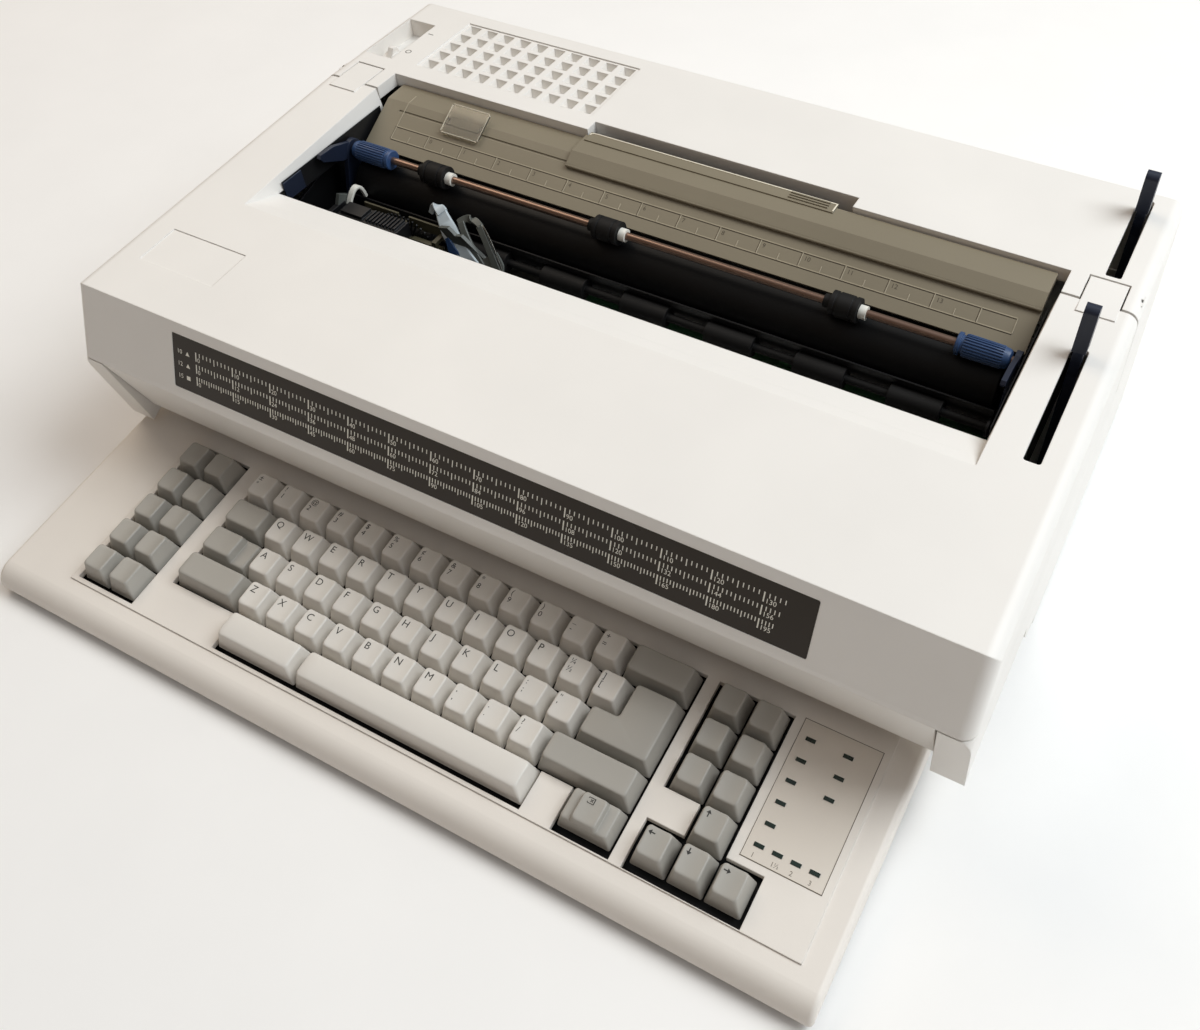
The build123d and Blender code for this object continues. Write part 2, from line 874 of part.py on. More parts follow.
# Paper deflector: a trough round the lower half of the platen, with windows for the feed rollers
deflector_radius = platen_radius + 1.3
deflector_thickness = 1.0
deflector_half = platen_half + 2
cheek_thickness = 1.5
feed_radius = 6.0
feed_shaft_radius = 2.5
feed_angle = 200.0
feed_count = 7
feed_pitch = 54.4
feed_width = 29.0
feed_offset = 5.3
feed_distance = platen_radius + feed_radius + 0.3
feed_y = platen_y + feed_distance * cos(radians(feed_angle))
feed_z = platen_z + feed_distance * sin(radians(feed_angle))
feed_places = [feed_offset + feed_pitch * (n - (feed_count - 1) / 2) for n in range(feed_count)]
with BuildPart() as paper_deflector:
    rod(platen_y, platen_z, deflector_radius + deflector_thickness, -deflector_half, deflector_half)
    rod(platen_y, platen_z, deflector_radius, -deflector_half, deflector_half, mode=Mode.SUBTRACT)
    outline(
        [
            (platen_y - 2 * platen_radius, platen_z + 1.5),
            (platen_y, platen_z + 1.5),
            (platen_y, platen_z),
            (platen_y + 2 * platen_radius, platen_z - 8),
            (platen_y + 2 * platen_radius, platen_z + 3 * platen_radius),
            (platen_y - 2 * platen_radius, platen_z + 3 * platen_radius),
        ],
        -body_width,
        body_width,
        mode=Mode.SUBTRACT,
    )
    outline(
        [
            (
                platen_y + deflector_radius * cos(radians(-45)),
                platen_z + deflector_radius * sin(radians(-45)) - 0.5,
            ),
            (cross_rail_y + 2, cross_rail_z + cross_rail_height),
            (cross_rail_y + cross_rail_depth, cross_rail_z + cross_rail_height),
            (cross_rail_y + cross_rail_depth, cross_rail_z + cross_rail_height + 1.2),
            (cross_rail_y + 1.5, cross_rail_z + cross_rail_height + 1.2),
            (
                platen_y + deflector_radius * cos(radians(-42)),
                platen_z + deflector_radius * sin(radians(-42)) + 0.1,
            ),
        ],
        -deflector_half + 12,
        deflector_half - 12,
    )
    rod(platen_y, platen_z, deflector_radius, -deflector_half, deflector_half, mode=Mode.SUBTRACT)
    for place in feed_places:
        rod(
            feed_y,
            feed_z,
            feed_radius + 1.0,
            place - feed_width / 2 - 1,
            place + feed_width / 2 + 1,
            mode=Mode.SUBTRACT,
        )
    for side in (-1, 1):
        with BuildSketch(Plane.YZ.offset(side * deflector_half)) as cheek:
            with Locations((feed_y, feed_z)):
                Circle(feed_shaft_radius + 2.5)
            with Locations((platen_y - 8, platen_z - 23)):
                Circle(3)
            with Locations((platen_y - 18, platen_z - 12)):
                Circle(3)
            make_hull()
            with Locations((platen_y, platen_z)):
                Circle(deflector_radius, mode=Mode.SUBTRACT)
            with Locations((feed_y, feed_z)):
                Circle(feed_shaft_radius + fit_gap, mode=Mode.SUBTRACT)
        extrude(cheek.sketch, amount=-side * cheek_thickness)
save(paper_deflector, "paper_deflector")

# Feed rollers: rubber rollers on one steel shaft, carried in the side plates
with BuildPart() as feed_rollers:
    for place in feed_places:
        rod(feed_y, feed_z, feed_radius, place - feed_width / 2, place + feed_width / 2)
    rod(feed_y, feed_z, feed_shaft_radius, -deflector_half, deflector_half)
save(feed_rollers, "feed_rollers")

# Bail: shaft, arms, stubs and lever swing together about the bail pivot
bail_angle = degrees(atan2(bail_y - bail_pivot_y, bail_z - bail_pivot_z))
with BuildPart() as bail_shaft:
    rod(bail_y, bail_z, bail_shaft_radius, -bail_arm_inner - 1, bail_arm_inner + 1)
save(bail_shaft, "bail_shaft")

with BuildPart() as bail_arms:
    for side in (-1, 1):
        with BuildSketch(Plane.YZ.offset(side * bail_arm_inner)) as arm:
            with Locations((bail_pivot_y, bail_pivot_z)):
                Circle(8)
            with Locations((bail_y, bail_z)):
                Circle(6)
            make_hull()
            with Locations((bail_y, bail_z)):
                Circle(bail_shaft_radius, mode=Mode.SUBTRACT)
        extrude(arm.sketch, amount=side * bail_arm_thickness)
        stub_end = lever_x + lever_thickness / 2 if side > 0 else -frame_inner - 6
        rod(bail_pivot_y, bail_pivot_z, stub_radius, side * (bail_arm_inner + 1), stub_end)
save(bail_arms, "bail_arms")

with BuildPart() as bail_knobs:
    for side in (-1, 1):
        with BuildSketch(Plane.YZ.offset(side * bail_knob_inner)) as knob:
            with Locations((bail_y, bail_z)):
                Circle(bail_knob_radius - 0.5)
                with PolarLocations(bail_knob_radius - 0.6, 20):
                    Circle(0.6)
                Circle(bail_shaft_radius, mode=Mode.SUBTRACT)
        extrude(knob.sketch, amount=side * (bail_knob_outer - bail_knob_inner))
save(bail_knobs, "bail_knobs")

with BuildPart() as bail_rollers:
    for place in bail_roller_places:
        rod(bail_y, bail_z, bail_roller_radius, place - bail_roller_width / 2, place + bail_roller_width / 2)
        for groove in (-bail_groove, bail_groove):
            with BuildSketch(Plane.YZ.offset(place + groove)) as ring:
                with Locations((bail_y, bail_z)):
                    Circle(bail_roller_radius + 1)
                    Circle(bail_roller_radius - 0.5, mode=Mode.SUBTRACT)
            extrude(ring.sketch, amount=0.8, both=True, mode=Mode.SUBTRACT)
    rod(bail_y, bail_z, bail_shaft_radius + fit_gap, -body_width, body_width, mode=Mode.SUBTRACT)
save(bail_rollers, "bail_rollers")

with BuildPart() as bail_bushes:
    for place in bail_roller_places:
        for side in (-1, 1):
            start = place + side * (bail_roller_width / 2 + 0.2)
            rod(bail_y, bail_z, bail_bush_radius, start, start + side * bail_bush_width)
    rod(bail_y, bail_z, bail_shaft_radius, -body_width, body_width, mode=Mode.SUBTRACT)
save(bail_bushes, "bail_bushes")


def lever(pivot_y, pivot_z, slot_y, cap_y, label):
    """A lever from its pivot up through the cover's slot, with a rounded cap on its end."""
    cap_foot = body_height + lever_cap_foot
    cap_top = cap_foot + lever_cap_height - lever_cap_depth / 2
    with BuildPart() as piece:
        with BuildSketch(Plane.YZ.offset(lever_x - lever_thickness / 2)) as stem:
            with Locations((pivot_y, pivot_z)):
                Circle(lever_hub_radius)
            with BuildLine():
                Polyline(
                    (pivot_y - 6, pivot_z + 4),
                    (slot_y - lever_cap_depth / 2, body_height - 12),
                    (slot_y - lever_cap_depth / 2, cap_foot),
                    (slot_y + lever_cap_depth / 2, cap_foot),
                    (slot_y + lever_cap_depth / 2, body_height - 12),
                    (pivot_y + 6, pivot_z + 4),
                    close=True,
                )
            make_face()
            with Locations((pivot_y, pivot_z)):
                Circle(stub_radius, mode=Mode.SUBTRACT)
        extrude(stem.sketch, amount=lever_thickness)
        with BuildSketch(Plane.YZ.offset(lever_x - lever_cap_width / 2)) as cap:
            with BuildLine():
                Polyline(
                    (slot_y - lever_cap_depth / 2, cap_foot),
                    (cap_y - lever_cap_depth / 2, cap_top),
                    (cap_y + lever_cap_depth / 2, cap_top),
                    (slot_y + lever_cap_depth / 2, cap_foot),
                    close=True,
                )
            make_face()
            with Locations((cap_y, cap_top)):
                Circle(lever_cap_depth / 2)
        extrude(cap.sketch, amount=lever_cap_width)
    save(piece, label)


lever(bail_pivot_y, bail_pivot_z, bail_lever_y, bail_cap_y, "bail_lever")
lever(release_pivot_y, release_pivot_z, release_lever_y, release_cap_y, "release_lever")

# Release shaft: runs across the machine below the paper table, with a cam at each end
with BuildPart() as release_shaft:
    rod(release_pivot_y, release_pivot_z, stub_radius, -frame_inner - 6, lever_x + lever_thickness / 2)
    for side in (-1, 1):
        with BuildSketch(Plane.YZ.offset(side * (frame_inner - 16))) as cam:
            with Locations((release_pivot_y, release_pivot_z)):
                Circle(7)
            with Locations((release_pivot_y - 8, release_pivot_z)):
                Circle(4)
            make_hull()
        extrude(cam.sketch, amount=side * 6)
save(release_shaft, "release_shaft")

# Paper table: sloping plate behind the platen, bent level at its top, on brackets from the cross rail
slope_run = tan(radians(table_slope))
table_bend_z = table_foot_z + (table_bend_y - table_foot_y) * slope_run
table_top_y = opening_rear - table_rear_gap
drop_y = table_thickness * sin(radians(table_slope))
drop_z = table_thickness * cos(radians(table_slope))
groove_y = 112.4
groove_width = 1.2
groove_depth = 0.7
bracket_x = 150.0
bracket_half = 8.0
bracket_depth = 9.0


def table_height(y):
    """Height of the paper table's upper face at a place along Y."""
    return table_foot_z + (y - table_foot_y) * slope_run


bracket_rear = cross_rail_y + cross_rail_depth
with BuildPart() as paper_table:
    outline(
        [
            (table_foot_y, table_foot_z),
            (table_bend_y, table_bend_z),
            (table_top_y, table_bend_z + 0.6),
            (table_top_y, table_bend_z + 0.6 - table_thickness),
            (table_bend_y + drop_y, table_bend_z - drop_z),
            (table_foot_y + drop_y, table_foot_z - drop_z),
        ],
        -table_half,
        table_half,
    )
    outline(
        [
            (groove_y, table_height(groove_y) - groove_depth),
            (groove_y + groove_width, table_height(groove_y + groove_width) - groove_depth),
            (groove_y + groove_width, body_height),
            (groove_y, body_height),
        ],
        -table_half + 12,
        support_left,
        mode=Mode.SUBTRACT,
    )
    for side in (-1, 1):
        outline(
            [
                (bracket_rear - bracket_depth, table_height(bracket_rear - bracket_depth) - 1.0),
                (bracket_rear, table_height(bracket_rear) - 4.0),
                (bracket_rear, cross_rail_z + cross_rail_height + 2),
                (bracket_rear - bracket_depth, cross_rail_z + cross_rail_height + 2),
            ],
            side * bracket_x - bracket_half,
            side * bracket_x + bracket_half,
        )
save(paper_table, "paper_table")

# Paper support: panel hinged along its lower edge on the paper table, with an upper lip to lift it by
support_foot_z = table_height(support_foot_y) + support_lift / cos(radians(table_slope))
support_bend_z = support_foot_z + (table_bend_y - support_foot_y) * slope_run
lip_rise = 1.2
lip_rear = opening_rear + notch_depth - 7.2
ridge_left = 60.0
ridge_width = 24.0
with BuildPart() as paper_support:
    outline(
        [
            (support_foot_y, support_foot_z),
            (table_bend_y, support_bend_z),
            (table_top_y - 0.6, support_bend_z + 0.7),
            (table_top_y - 0.6, support_bend_z + 0.7 + support_thickness),
            (table_bend_y - 1, support_bend_z + support_thickness),
            (support_foot_y, support_foot_z + support_thickness),
        ],
        support_left,
        table_half,
    )
    outline(
        [
            (table_top_y - 6, support_bend_z + support_thickness - 0.5),
            (lip_rear, support_bend_z + support_thickness - 0.5),
            (lip_rear, support_bend_z + support_thickness + lip_rise),
            (table_top_y - 6, support_bend_z + support_thickness + lip_rise),
        ],
        support_lip_left,
        support_lip_right,
    )
    rod(
        support_foot_y,
        support_foot_z + support_thickness / 2,
        support_thickness / 2 * cos(radians(table_slope)),
        support_left,
        table_half,
    )
    for ridge in range(3):
        block(
            ridge_left,
            ridge_left + ridge_width,
            table_top_y - 4 + 2.2 * ridge,
            table_top_y - 3 + 2.2 * ridge,
            support_bend_z + support_thickness + lip_rise - 0.2,
            support_bend_z + support_thickness + lip_rise + 0.7,
        )
save(paper_support, "paper_support")

# Card holder: a clear plate standing off the paper table on two feet
holder_left = -table_half + 48
holder_width = 28.0
holder_foot_y = 107.6
holder_top_y = 125.1
table_plane = Plane(
    origin=(0, table_foot_y, table_foot_z),
    x_dir=(1, 0, 0),
    z_dir=(0, -sin(radians(table_slope)), cos(radians(table_slope))),
)
with BuildPart() as card_holder:
    with BuildSketch(table_plane.offset(1.6)) as plate:
        with Locations(
            (
                holder_left + holder_width / 2,
                ((holder_foot_y + holder_top_y) / 2 - table_foot_y) / cos(radians(table_slope)),
            )
        ):
            RectangleRounded(holder_width, (holder_top_y - holder_foot_y) / cos(radians(table_slope)), 1.5)
    extrude(plate.sketch, amount=1.0)
    with BuildSketch(table_plane) as feet:
        for x in (holder_left + 2, holder_left + holder_width - 2):
            with Locations((x, (holder_foot_y + 8 - table_foot_y) / cos(radians(table_slope)))):
                Rectangle(2.0, 3.0)
    extrude(feet.sketch, amount=1.8)
save(card_holder, "card_holder")

# Carrier: a frame on the two rails that holds the print wheel, ribbon and correction parts
bearing_clear = 0.1
carrier_deck = carrier_floor + carrier_plate
carrier_rear = rear_rail_y + 9
with BuildPart() as carrier_frame:
    block(carrier_left, carrier_right, front_rail_y - 8, carrier_rear, carrier_floor, carrier_deck)
    for x in (carrier_left, carrier_right - carrier_plate):
        block(x, x + carrier_plate, front_rail_y + 4, rear_rail_y + 8, carrier_floor, carrier_top)
    block(carrier_left, carrier_left + carrier_plate, 26, carrier_rear, carrier_floor, carrier_plate_top)
    block(carrier_left, carrier_right, rear_rail_y - 8, rear_rail_y + 8, rail_z - 7, carrier_floor + 1)
    block(carrier_left, carrier_right, front_rail_y - 6, front_rail_y + 6, rail_z - 5.5, carrier_floor + 1)
    rod(rear_rail_y, rail_z, rear_rail_radius + bearing_clear, -body_width, body_width, mode=Mode.SUBTRACT)
    rod(front_rail_y, rail_z, front_rail_radius + bearing_clear, -body_width, body_width, mode=Mode.SUBTRACT)
save(carrier_frame, "carrier_frame")

# Print wheel and its motor
motor_half = 16.0
wheel_hub = 5.0
wheel_hub_length = 8.0
wheel_shaft_radius = 2.5
wheel_motor_front = 6.0
wheel_motor_rear = 40.0
wheel_axis_z = carrier_deck + motor_half
with BuildPart() as printwheel_motor:
    with BuildSketch(Plane.XZ.offset(-wheel_motor_rear)) as can:
        with Locations((print_x, wheel_axis_z)):
            Circle(motor_half)
            Circle(wheel_shaft_radius + fit_gap, mode=Mode.SUBTRACT)
    extrude(can.sketch, amount=wheel_motor_rear - wheel_motor_front)
    block(print_x - motor_half, print_x + motor_half, 10, 36, carrier_deck, wheel_axis_z - motor_half / 2)
save(printwheel_motor, "printwheel_motor")

with BuildPart() as printwheel:
    with BuildSketch(Plane.XZ.offset(-wheel_y)) as disc:
        with Locations((print_x, wheel_axis_z)):
            Circle(wheel_disc_radius)
            with PolarLocations(0, wheel_spokes):
                Rectangle(wheel_radius, 0.9, align=(Align.MIN, Align.CENTER))
    extrude(disc.sketch, amount=1.0)
    with BuildSketch(Plane.XZ.offset(-wheel_y)) as hub:
        with Locations((print_x, wheel_axis_z)):
            Circle(wheel_hub)
    extrude(hub.sketch, amount=wheel_hub_length)
    with BuildSketch(Plane.XZ.offset(-wheel_y + wheel_hub_length)) as spindle:
        with Locations((print_x, wheel_axis_z)):
            Circle(wheel_shaft_radius)
    extrude(spindle.sketch, amount=wheel_y - wheel_hub_length - 2 * wheel_motor_front)
save(printwheel, "printwheel")

# Ribbon cartridge: a flat box on the front of the carrier, with two arms that lead the ribbon back
with BuildPart() as ribbon_cartridge:
    block(carrier_left + 8, carrier_right - 8, front_rail_y + 6, 5.0, cartridge_foot, cartridge_top)
    fillet(ribbon_cartridge.edges().filter_by(Axis.Z), 6)
    for x in (carrier_left + 3.6, carrier_right - 11.6):
        block(x, x + 8, -6, 4, cartridge_foot + 3, cartridge_top - 2)
        block(x, x + 4, 0, 48, cartridge_foot + 3, cartridge_top - 2)
    block(
        carrier_left + 20,
        carrier_right - 20,
        front_rail_y + 12,
        -2,
        carrier_deck,
        cartridge_foot + 0.5,
    )
save(ribbon_cartridge, "ribbon_cartridge")

# Ribbon levers: two slanted latch levers at the carrier's right, on a short pin
latch_y = 52.0
latch_x = carrier_right - 7
latch_thickness = 2.4
with BuildPart() as ribbon_levers:
    for shift, height in ((0, 116.0), (9, 113.0)):
        with BuildSketch(Plane.XZ.offset(-latch_y)) as latch:
            with BuildLine():
                Polyline(
                    (latch_x - 8 + shift, carrier_deck + 1),
                    (latch_x + shift, carrier_deck + 1),
                    (latch_x - 4 + shift, carrier_deck + 21),
                    (latch_x - 30 + shift, height),
                    (latch_x - 37 + shift, height - 2),
                    (latch_x - 12 + shift, carrier_deck + 17),
                    close=True,
                )
            make_face()
        extrude(latch.sketch, amount=latch_thickness)
    with BuildSketch(Plane.XZ.offset(-latch_y)) as pin:
        with Locations((latch_x, carrier_deck + 7)):
            Rectangle(14, 8)
    extrude(pin.sketch, amount=latch_thickness)
    block(latch_x - 7, latch_x + 3, 38, latch_y, carrier_deck, carrier_deck + 11)
save(ribbon_levers, "ribbon_levers")

# Card guide: the slotted strip that holds a card against the platen
guide_half = 30.0
guide_front = 54.4
guide_foot = 102.4
guide_top = 109.5
slot_foot = 105.0
with BuildPart() as card_guide:
    block(print_x - guide_half, print_x + guide_half, guide_front, guide_front + 1.2, guide_foot, guide_top)
    block(
        print_x - 4,
        print_x + 4,
        guide_front - 4,
        guide_front + 4,
        slot_foot,
        guide_top + 1,
        mode=Mode.SUBTRACT,
    )
    for x in (print_x - guide_half, print_x + guide_half - 3):
        block(x, x + 3, guide_front - 7.4, guide_front + 0.6, guide_foot, slot_foot)
        block(x, x + 3, guide_front - 9.4, guide_front - 7, carrier_deck, slot_foot)
save(card_guide, "card_guide")

# Carrier drive: toothed belt round two pulleys, the right one on its motor
with BuildPart() as drive_belt:
    with BuildSketch(Plane.XY.offset(belt_foot)) as loop:
        with Locations((0, pulley_y)):
            SlotCenterToCenter(2 * pulley_x, 2 * (pulley_radius + 0.3 + belt_thickness))
            SlotCenterToCenter(2 * pulley_x, 2 * (pulley_radius + 0.3), mode=Mode.SUBTRACT)
    extrude(loop.sketch, amount=belt_width)
save(drive_belt, "drive_belt")

motor_top = belt_foot - pulley_flange - 1.0
pulley_shaft_depth = 8.0
carrier_motor_radius = 13.5
idler_post_radius = 6.0
for label, x in (("drive_pulley", pulley_x), ("idler_pulley", -pulley_x)):
    with BuildPart() as pulley:
        post(x, pulley_y, pulley_radius, belt_foot, belt_foot + belt_width)
        post(x, pulley_y, pulley_radius + 3, belt_foot - pulley_flange, belt_foot - 0.3)
        post(x, pulley_y, pulley_radius, belt_foot - 0.4, belt_foot + 0.1)
        post(x, pulley_y, pulley_shaft_radius, motor_top - pulley_shaft_depth, belt_foot)
    save(pulley, label)

# Carrier motor below the drive pulley, and the same-shaped bearing post below the idler
with BuildPart() as carrier_motor:
    post(pulley_x, pulley_y, carrier_motor_radius, floor_z, motor_top)
    post(-pulley_x, pulley_y, idler_post_radius, floor_z, motor_top)
    for x in (-pulley_x, pulley_x):
        post(
            x,
            pulley_y,
            pulley_shaft_radius + fit_gap,
            motor_top - pulley_shaft_depth - 0.4,
            motor_top,
            mode=Mode.SUBTRACT,
        )
save(carrier_motor, "carrier_motor")

# Power supply, logic board and inlet
supply_left = -212.0
supply_width = 112.0
supply_front = 128.0
supply_depth = 42.0
supply_top = 50.0
supply_lid = 4.0
supply_rib_pitch = 11.0
with BuildPart() as power_supply:
    block(
        supply_left,
        supply_left + supply_width,
        supply_front,
        supply_front + supply_depth,
        floor_z + 4,
        supply_top,
    )
    block(
        supply_left + 6,
        supply_left + supply_width - 6,
        supply_front + 6,
        supply_front + supply_depth - 6,
        supply_top,
        supply_top + supply_lid,
    )
    for rib in range(9):
        rib_x = supply_left + 10 + supply_rib_pitch * rib
        block(
            rib_x,
            rib_x + 4,
            supply_front + 6,
            supply_front + supply_depth - 6,
            supply_top + supply_lid - 1,
            supply_top + supply_lid + 2,
        )
    for x in (supply_left + 12, supply_left + supply_width - 12):
        post(x, supply_front + supply_depth / 2, 4, floor_z, floor_z + 5)
save(power_supply, "power_supply")

board_left = -88.0
board_width = 302.0
board_front = 128.0
board_depth = 72.0
board_foot = floor_z + 6
board_thickness = 1.6
chip_height = 4.5
with BuildPart() as logic_board:
    block(
        board_left,
        board_left + board_width,
        board_front,
        board_front + board_depth,
        board_foot,
        board_foot + board_thickness,
    )
    for x, y, length, depth in (
        (28, 22, 50, 16),
        (98, 22, 50, 16),
        (168, 22, 40, 40),
        (238, 32, 30, 12),
        (28, 56, 30, 10),
        (108, 56, 60, 8),
    ):
        block(
            board_left + x - length / 2,
            board_left + x + length / 2,
            board_front + y - depth / 2,
            board_front + y + depth / 2,
            board_foot + board_thickness - 0.1,
            board_foot + board_thickness + chip_height - 0.1,
        )
    for x in (board_left + 6, board_left + board_width - 6):
        for y in (board_front + 6, board_front + board_depth - 10):
            post(x, y, 3, floor_z, board_foot + 0.5)
save(logic_board, "logic_board")

inlet_depth = 18.0
inlet_wall = 2.9
with BuildPart() as power_inlet:
    block(
        inlet_x - inlet_half_width,
        inlet_x + inlet_half_width,
        y_back - wall - inlet_depth,
        y_back - 0.2,
        inlet_z - inlet_half_height,
        inlet_z + inlet_half_height,
    )
    block(
        inlet_x - inlet_half_width + inlet_wall,
        inlet_x + inlet_half_width - inlet_wall,
        y_back - wall - inlet_depth + inlet_wall,
        y_back + 1,
        inlet_z - inlet_half_height + inlet_wall,
        inlet_z + inlet_half_height - inlet_wall,
        mode=Mode.SUBTRACT,
    )
    for x, z in ((inlet_x - 7, inlet_z - 2), (inlet_x + 7, inlet_z - 2), (inlet_x, inlet_z + 3)):
        block(x - 1, x + 1, y_back - wall - inlet_depth + 2, y_back - 5, z - 2, z + 2)
save(power_inlet, "power_inlet")

# Screws that hold the frame to the pan, and the pan's rubber feet
screw_radius = 3.6
foot_radius = 11.0
foot_inset = 30.0
with BuildPart() as frame_screws:
    for side in (-1, 1):
        for x in (side * (frame_inner - 19), side * 60):
            post(
                x,
                frame_rear - cross_rail_height / 2,
                screw_radius,
                floor_z + frame_thickness,
                floor_z + frame_thickness + 2.4,
            )
save(frame_screws, "frame_screws")

with BuildPart() as rubber_feet:
    for side in (-1, 1):
        for y in (bay_rear + 20, y_back - 20):
            post(side * (body_width / 2 - foot_inset), y, foot_radius, 0, foot_height)
    chamfer(rubber_feet.faces().sort_by(Axis.Z)[:4].edges(), 1.0)
save(rubber_feet, "rubber_feet")

# Keyboard: case, base, key plate, lamps and feet
slant = tan(radians(kb_slope))


def deck_height(y):
    """Height of the key deck's reference plane at a place along Y."""
    return row_origin_z + (y - row_origin_y) * slant


deck_plane = Plane(
    origin=(keys_left, row_origin_y, row_origin_z),
    x_dir=(1, 0, 0),
    z_dir=(0, -sin(radians(kb_slope)), cos(radians(kb_slope))),
)
nose_y = kb_front + kb_nose
nose_z = deck_height(nose_y) - kb_deck_rise - kb_nose / cos(radians(kb_slope))


def case_form(inset):
    """The keyboard's outside shape with its rolled nose, or the space inside a wall as thick as the inset."""
    radius = kb_nose - inset
    lean = radians(kb_slope)
    rear = kb_rear - inset
    rise = deck_height(rear) - kb_deck_rise - inset / cos(lean)
    with BuildPart() as form:
        with BuildSketch(Plane.YZ.offset(kb_left + inset)) as side:
            with BuildLine():
                ThreePointArc(
                    (nose_y - radius, nose_z),
                    (
                        nose_y - radius * cos(radians(45) - lean / 2),
                        nose_z + radius * sin(radians(45) - lean / 2),
                    ),
                    (nose_y - radius * sin(lean), nose_z + radius * cos(lean)),
                )
                Polyline(
                    (nose_y - radius * sin(lean), nose_z + radius * cos(lean)),
                    (rear, rise),
                    (rear, kb_foot),
                    (nose_y - radius + kb_toe, kb_foot),
                    (nose_y - radius, nose_z),
                )
            make_face()
        extrude(side.sketch, amount=kb_right - kb_left - 2 * inset)
        if inset == 0:
            ends = form.edges().filter_by(lambda edge: edge.bounding_box().size.X < 0.01)
            fillet(ends.filter_by(lambda edge: edge.center().Z > nose_z), kb_corner)
    return form.part


# Openings in the deck, each from left to right and from front to rear
wells = [
    (-210.2, -170.2, -199.9, -102.2),
    (-158.6, 129.8, -180.0, -102.5),
    (-112.1, 80.5, -200.4, -177.9),
    (98.2, 129.8, -201.6, -177.9),
    (136.5, 177.6, -140.3, -102.7),
    (156.0, 177.6, -177.4, -138.9),
    (136.5, 157.0, -160.9, -138.9),
    (136.5, 196.7, -201.9, -176.9),
]
with BuildPart() as keyboard_case:
    add(case_form(0))
    block(kb_left - 1, kb_right + 1, kb_front - 1, kb_rear + 1, 0, kb_foot + 3, mode=Mode.SUBTRACT)
    with BuildSketch(deck_plane.offset(-kb_deck_rise - 1)) as deck:
        with Locations(
            (
                (deck_left + deck_right) / 2 - keys_left,
                ((deck_front + kb_rear) / 2 - row_origin_y) / cos(radians(kb_slope)),
            )
        ):
            Rectangle(deck_right - deck_left, (kb_rear - deck_front) / cos(radians(kb_slope)) - 6)
    extrude(deck.sketch, amount=kb_deck_rise + 1)
    add(case_form(kb_wall), mode=Mode.SUBTRACT)
    for x_from, x_to, y_from, y_to in wells:
        block(x_from, x_to, y_from, y_to, 0, body_height, mode=Mode.SUBTRACT)
save(keyboard_case, "keyboard_case")

base_gap = 0.3
base_thickness = 2.0
base_post_radius = 4.0
with BuildPart() as keyboard_base:
    block(
        kb_left + kb_wall + base_gap,
        kb_right - kb_wall - base_gap,
        kb_front + kb_toe + kb_wall + base_gap,
        kb_rear - kb_wall - base_gap,
        kb_foot,
        kb_foot + base_thickness,
    )
    fillet(keyboard_base.edges().filter_by(Axis.Z), 1.5)
    for x in (kb_left + 18, keys_left - 7.6, keys_left + 290.4, kb_right - 18):
        for y in (kb_front + kb_nose + 1, kb_rear - 17):
            post(
                x,
                y,
                base_post_radius,
                kb_foot + base_thickness - 0.5,
                deck_height(y) - kb_deck_rise - kb_wall - 1.0,
            )
save(keyboard_base, "keyboard_base")

# Key layout: each group is a list of (left, right, row), with the rows counted from the top
number_row = [(n, n + 1, 0) for n in range(13)]
upper_letter_row = [(1.5 + n, 2.5 + n, 1) for n in range(12)]
home_letter_row = [(1.75 + n, 2.75 + n, 2) for n in range(11)]
lower_letter_row = [(2.25 + n, 3.25 + n, 3) for n in range(10)]
left_block = [(-2.72 + n, -1.72 + n, row) for row in range(5) for n in range(2)]
right_block = [(15.5 + n, 16.5 + n, row) for row in range(2) for n in range(2)]
right_block += [(15.5, 16.5, 2), (16.5, 17.5, 2), (16.5, 17.5, 3)]
right_block += [(15.5 + n, 16.5 + n, 4) for n in range(3)]
key_groups = {
    "number_row_keys": number_row,
    "upper_letter_keys": upper_letter_row,
    "home_letter_keys": home_letter_row,
    "lower_letter_keys": lower_letter_row,
    "backspace_key": [(13, 15, 0)],
    "tab_and_lock_keys": [(0, 1.5, 1), (0, 1.75, 2)],
    "return_key": [(13.5, 15, 1), (12.75, 15, 2)],
    "shift_keys": [(0, 2.25, 3), (12.25, 15, 3)],
    "code_key": [(2.4, 5.15, 4)],
    "space_bar": [(5.15, 12.45, 4)],
    "erase_key": [(13.45, 15, 4)],
    "left_block_keys": left_block,
    "right_block_keys": right_block,
}

top_shift = (key_front_slope - key_rear_slope) / 2
stem_clear = 0.6


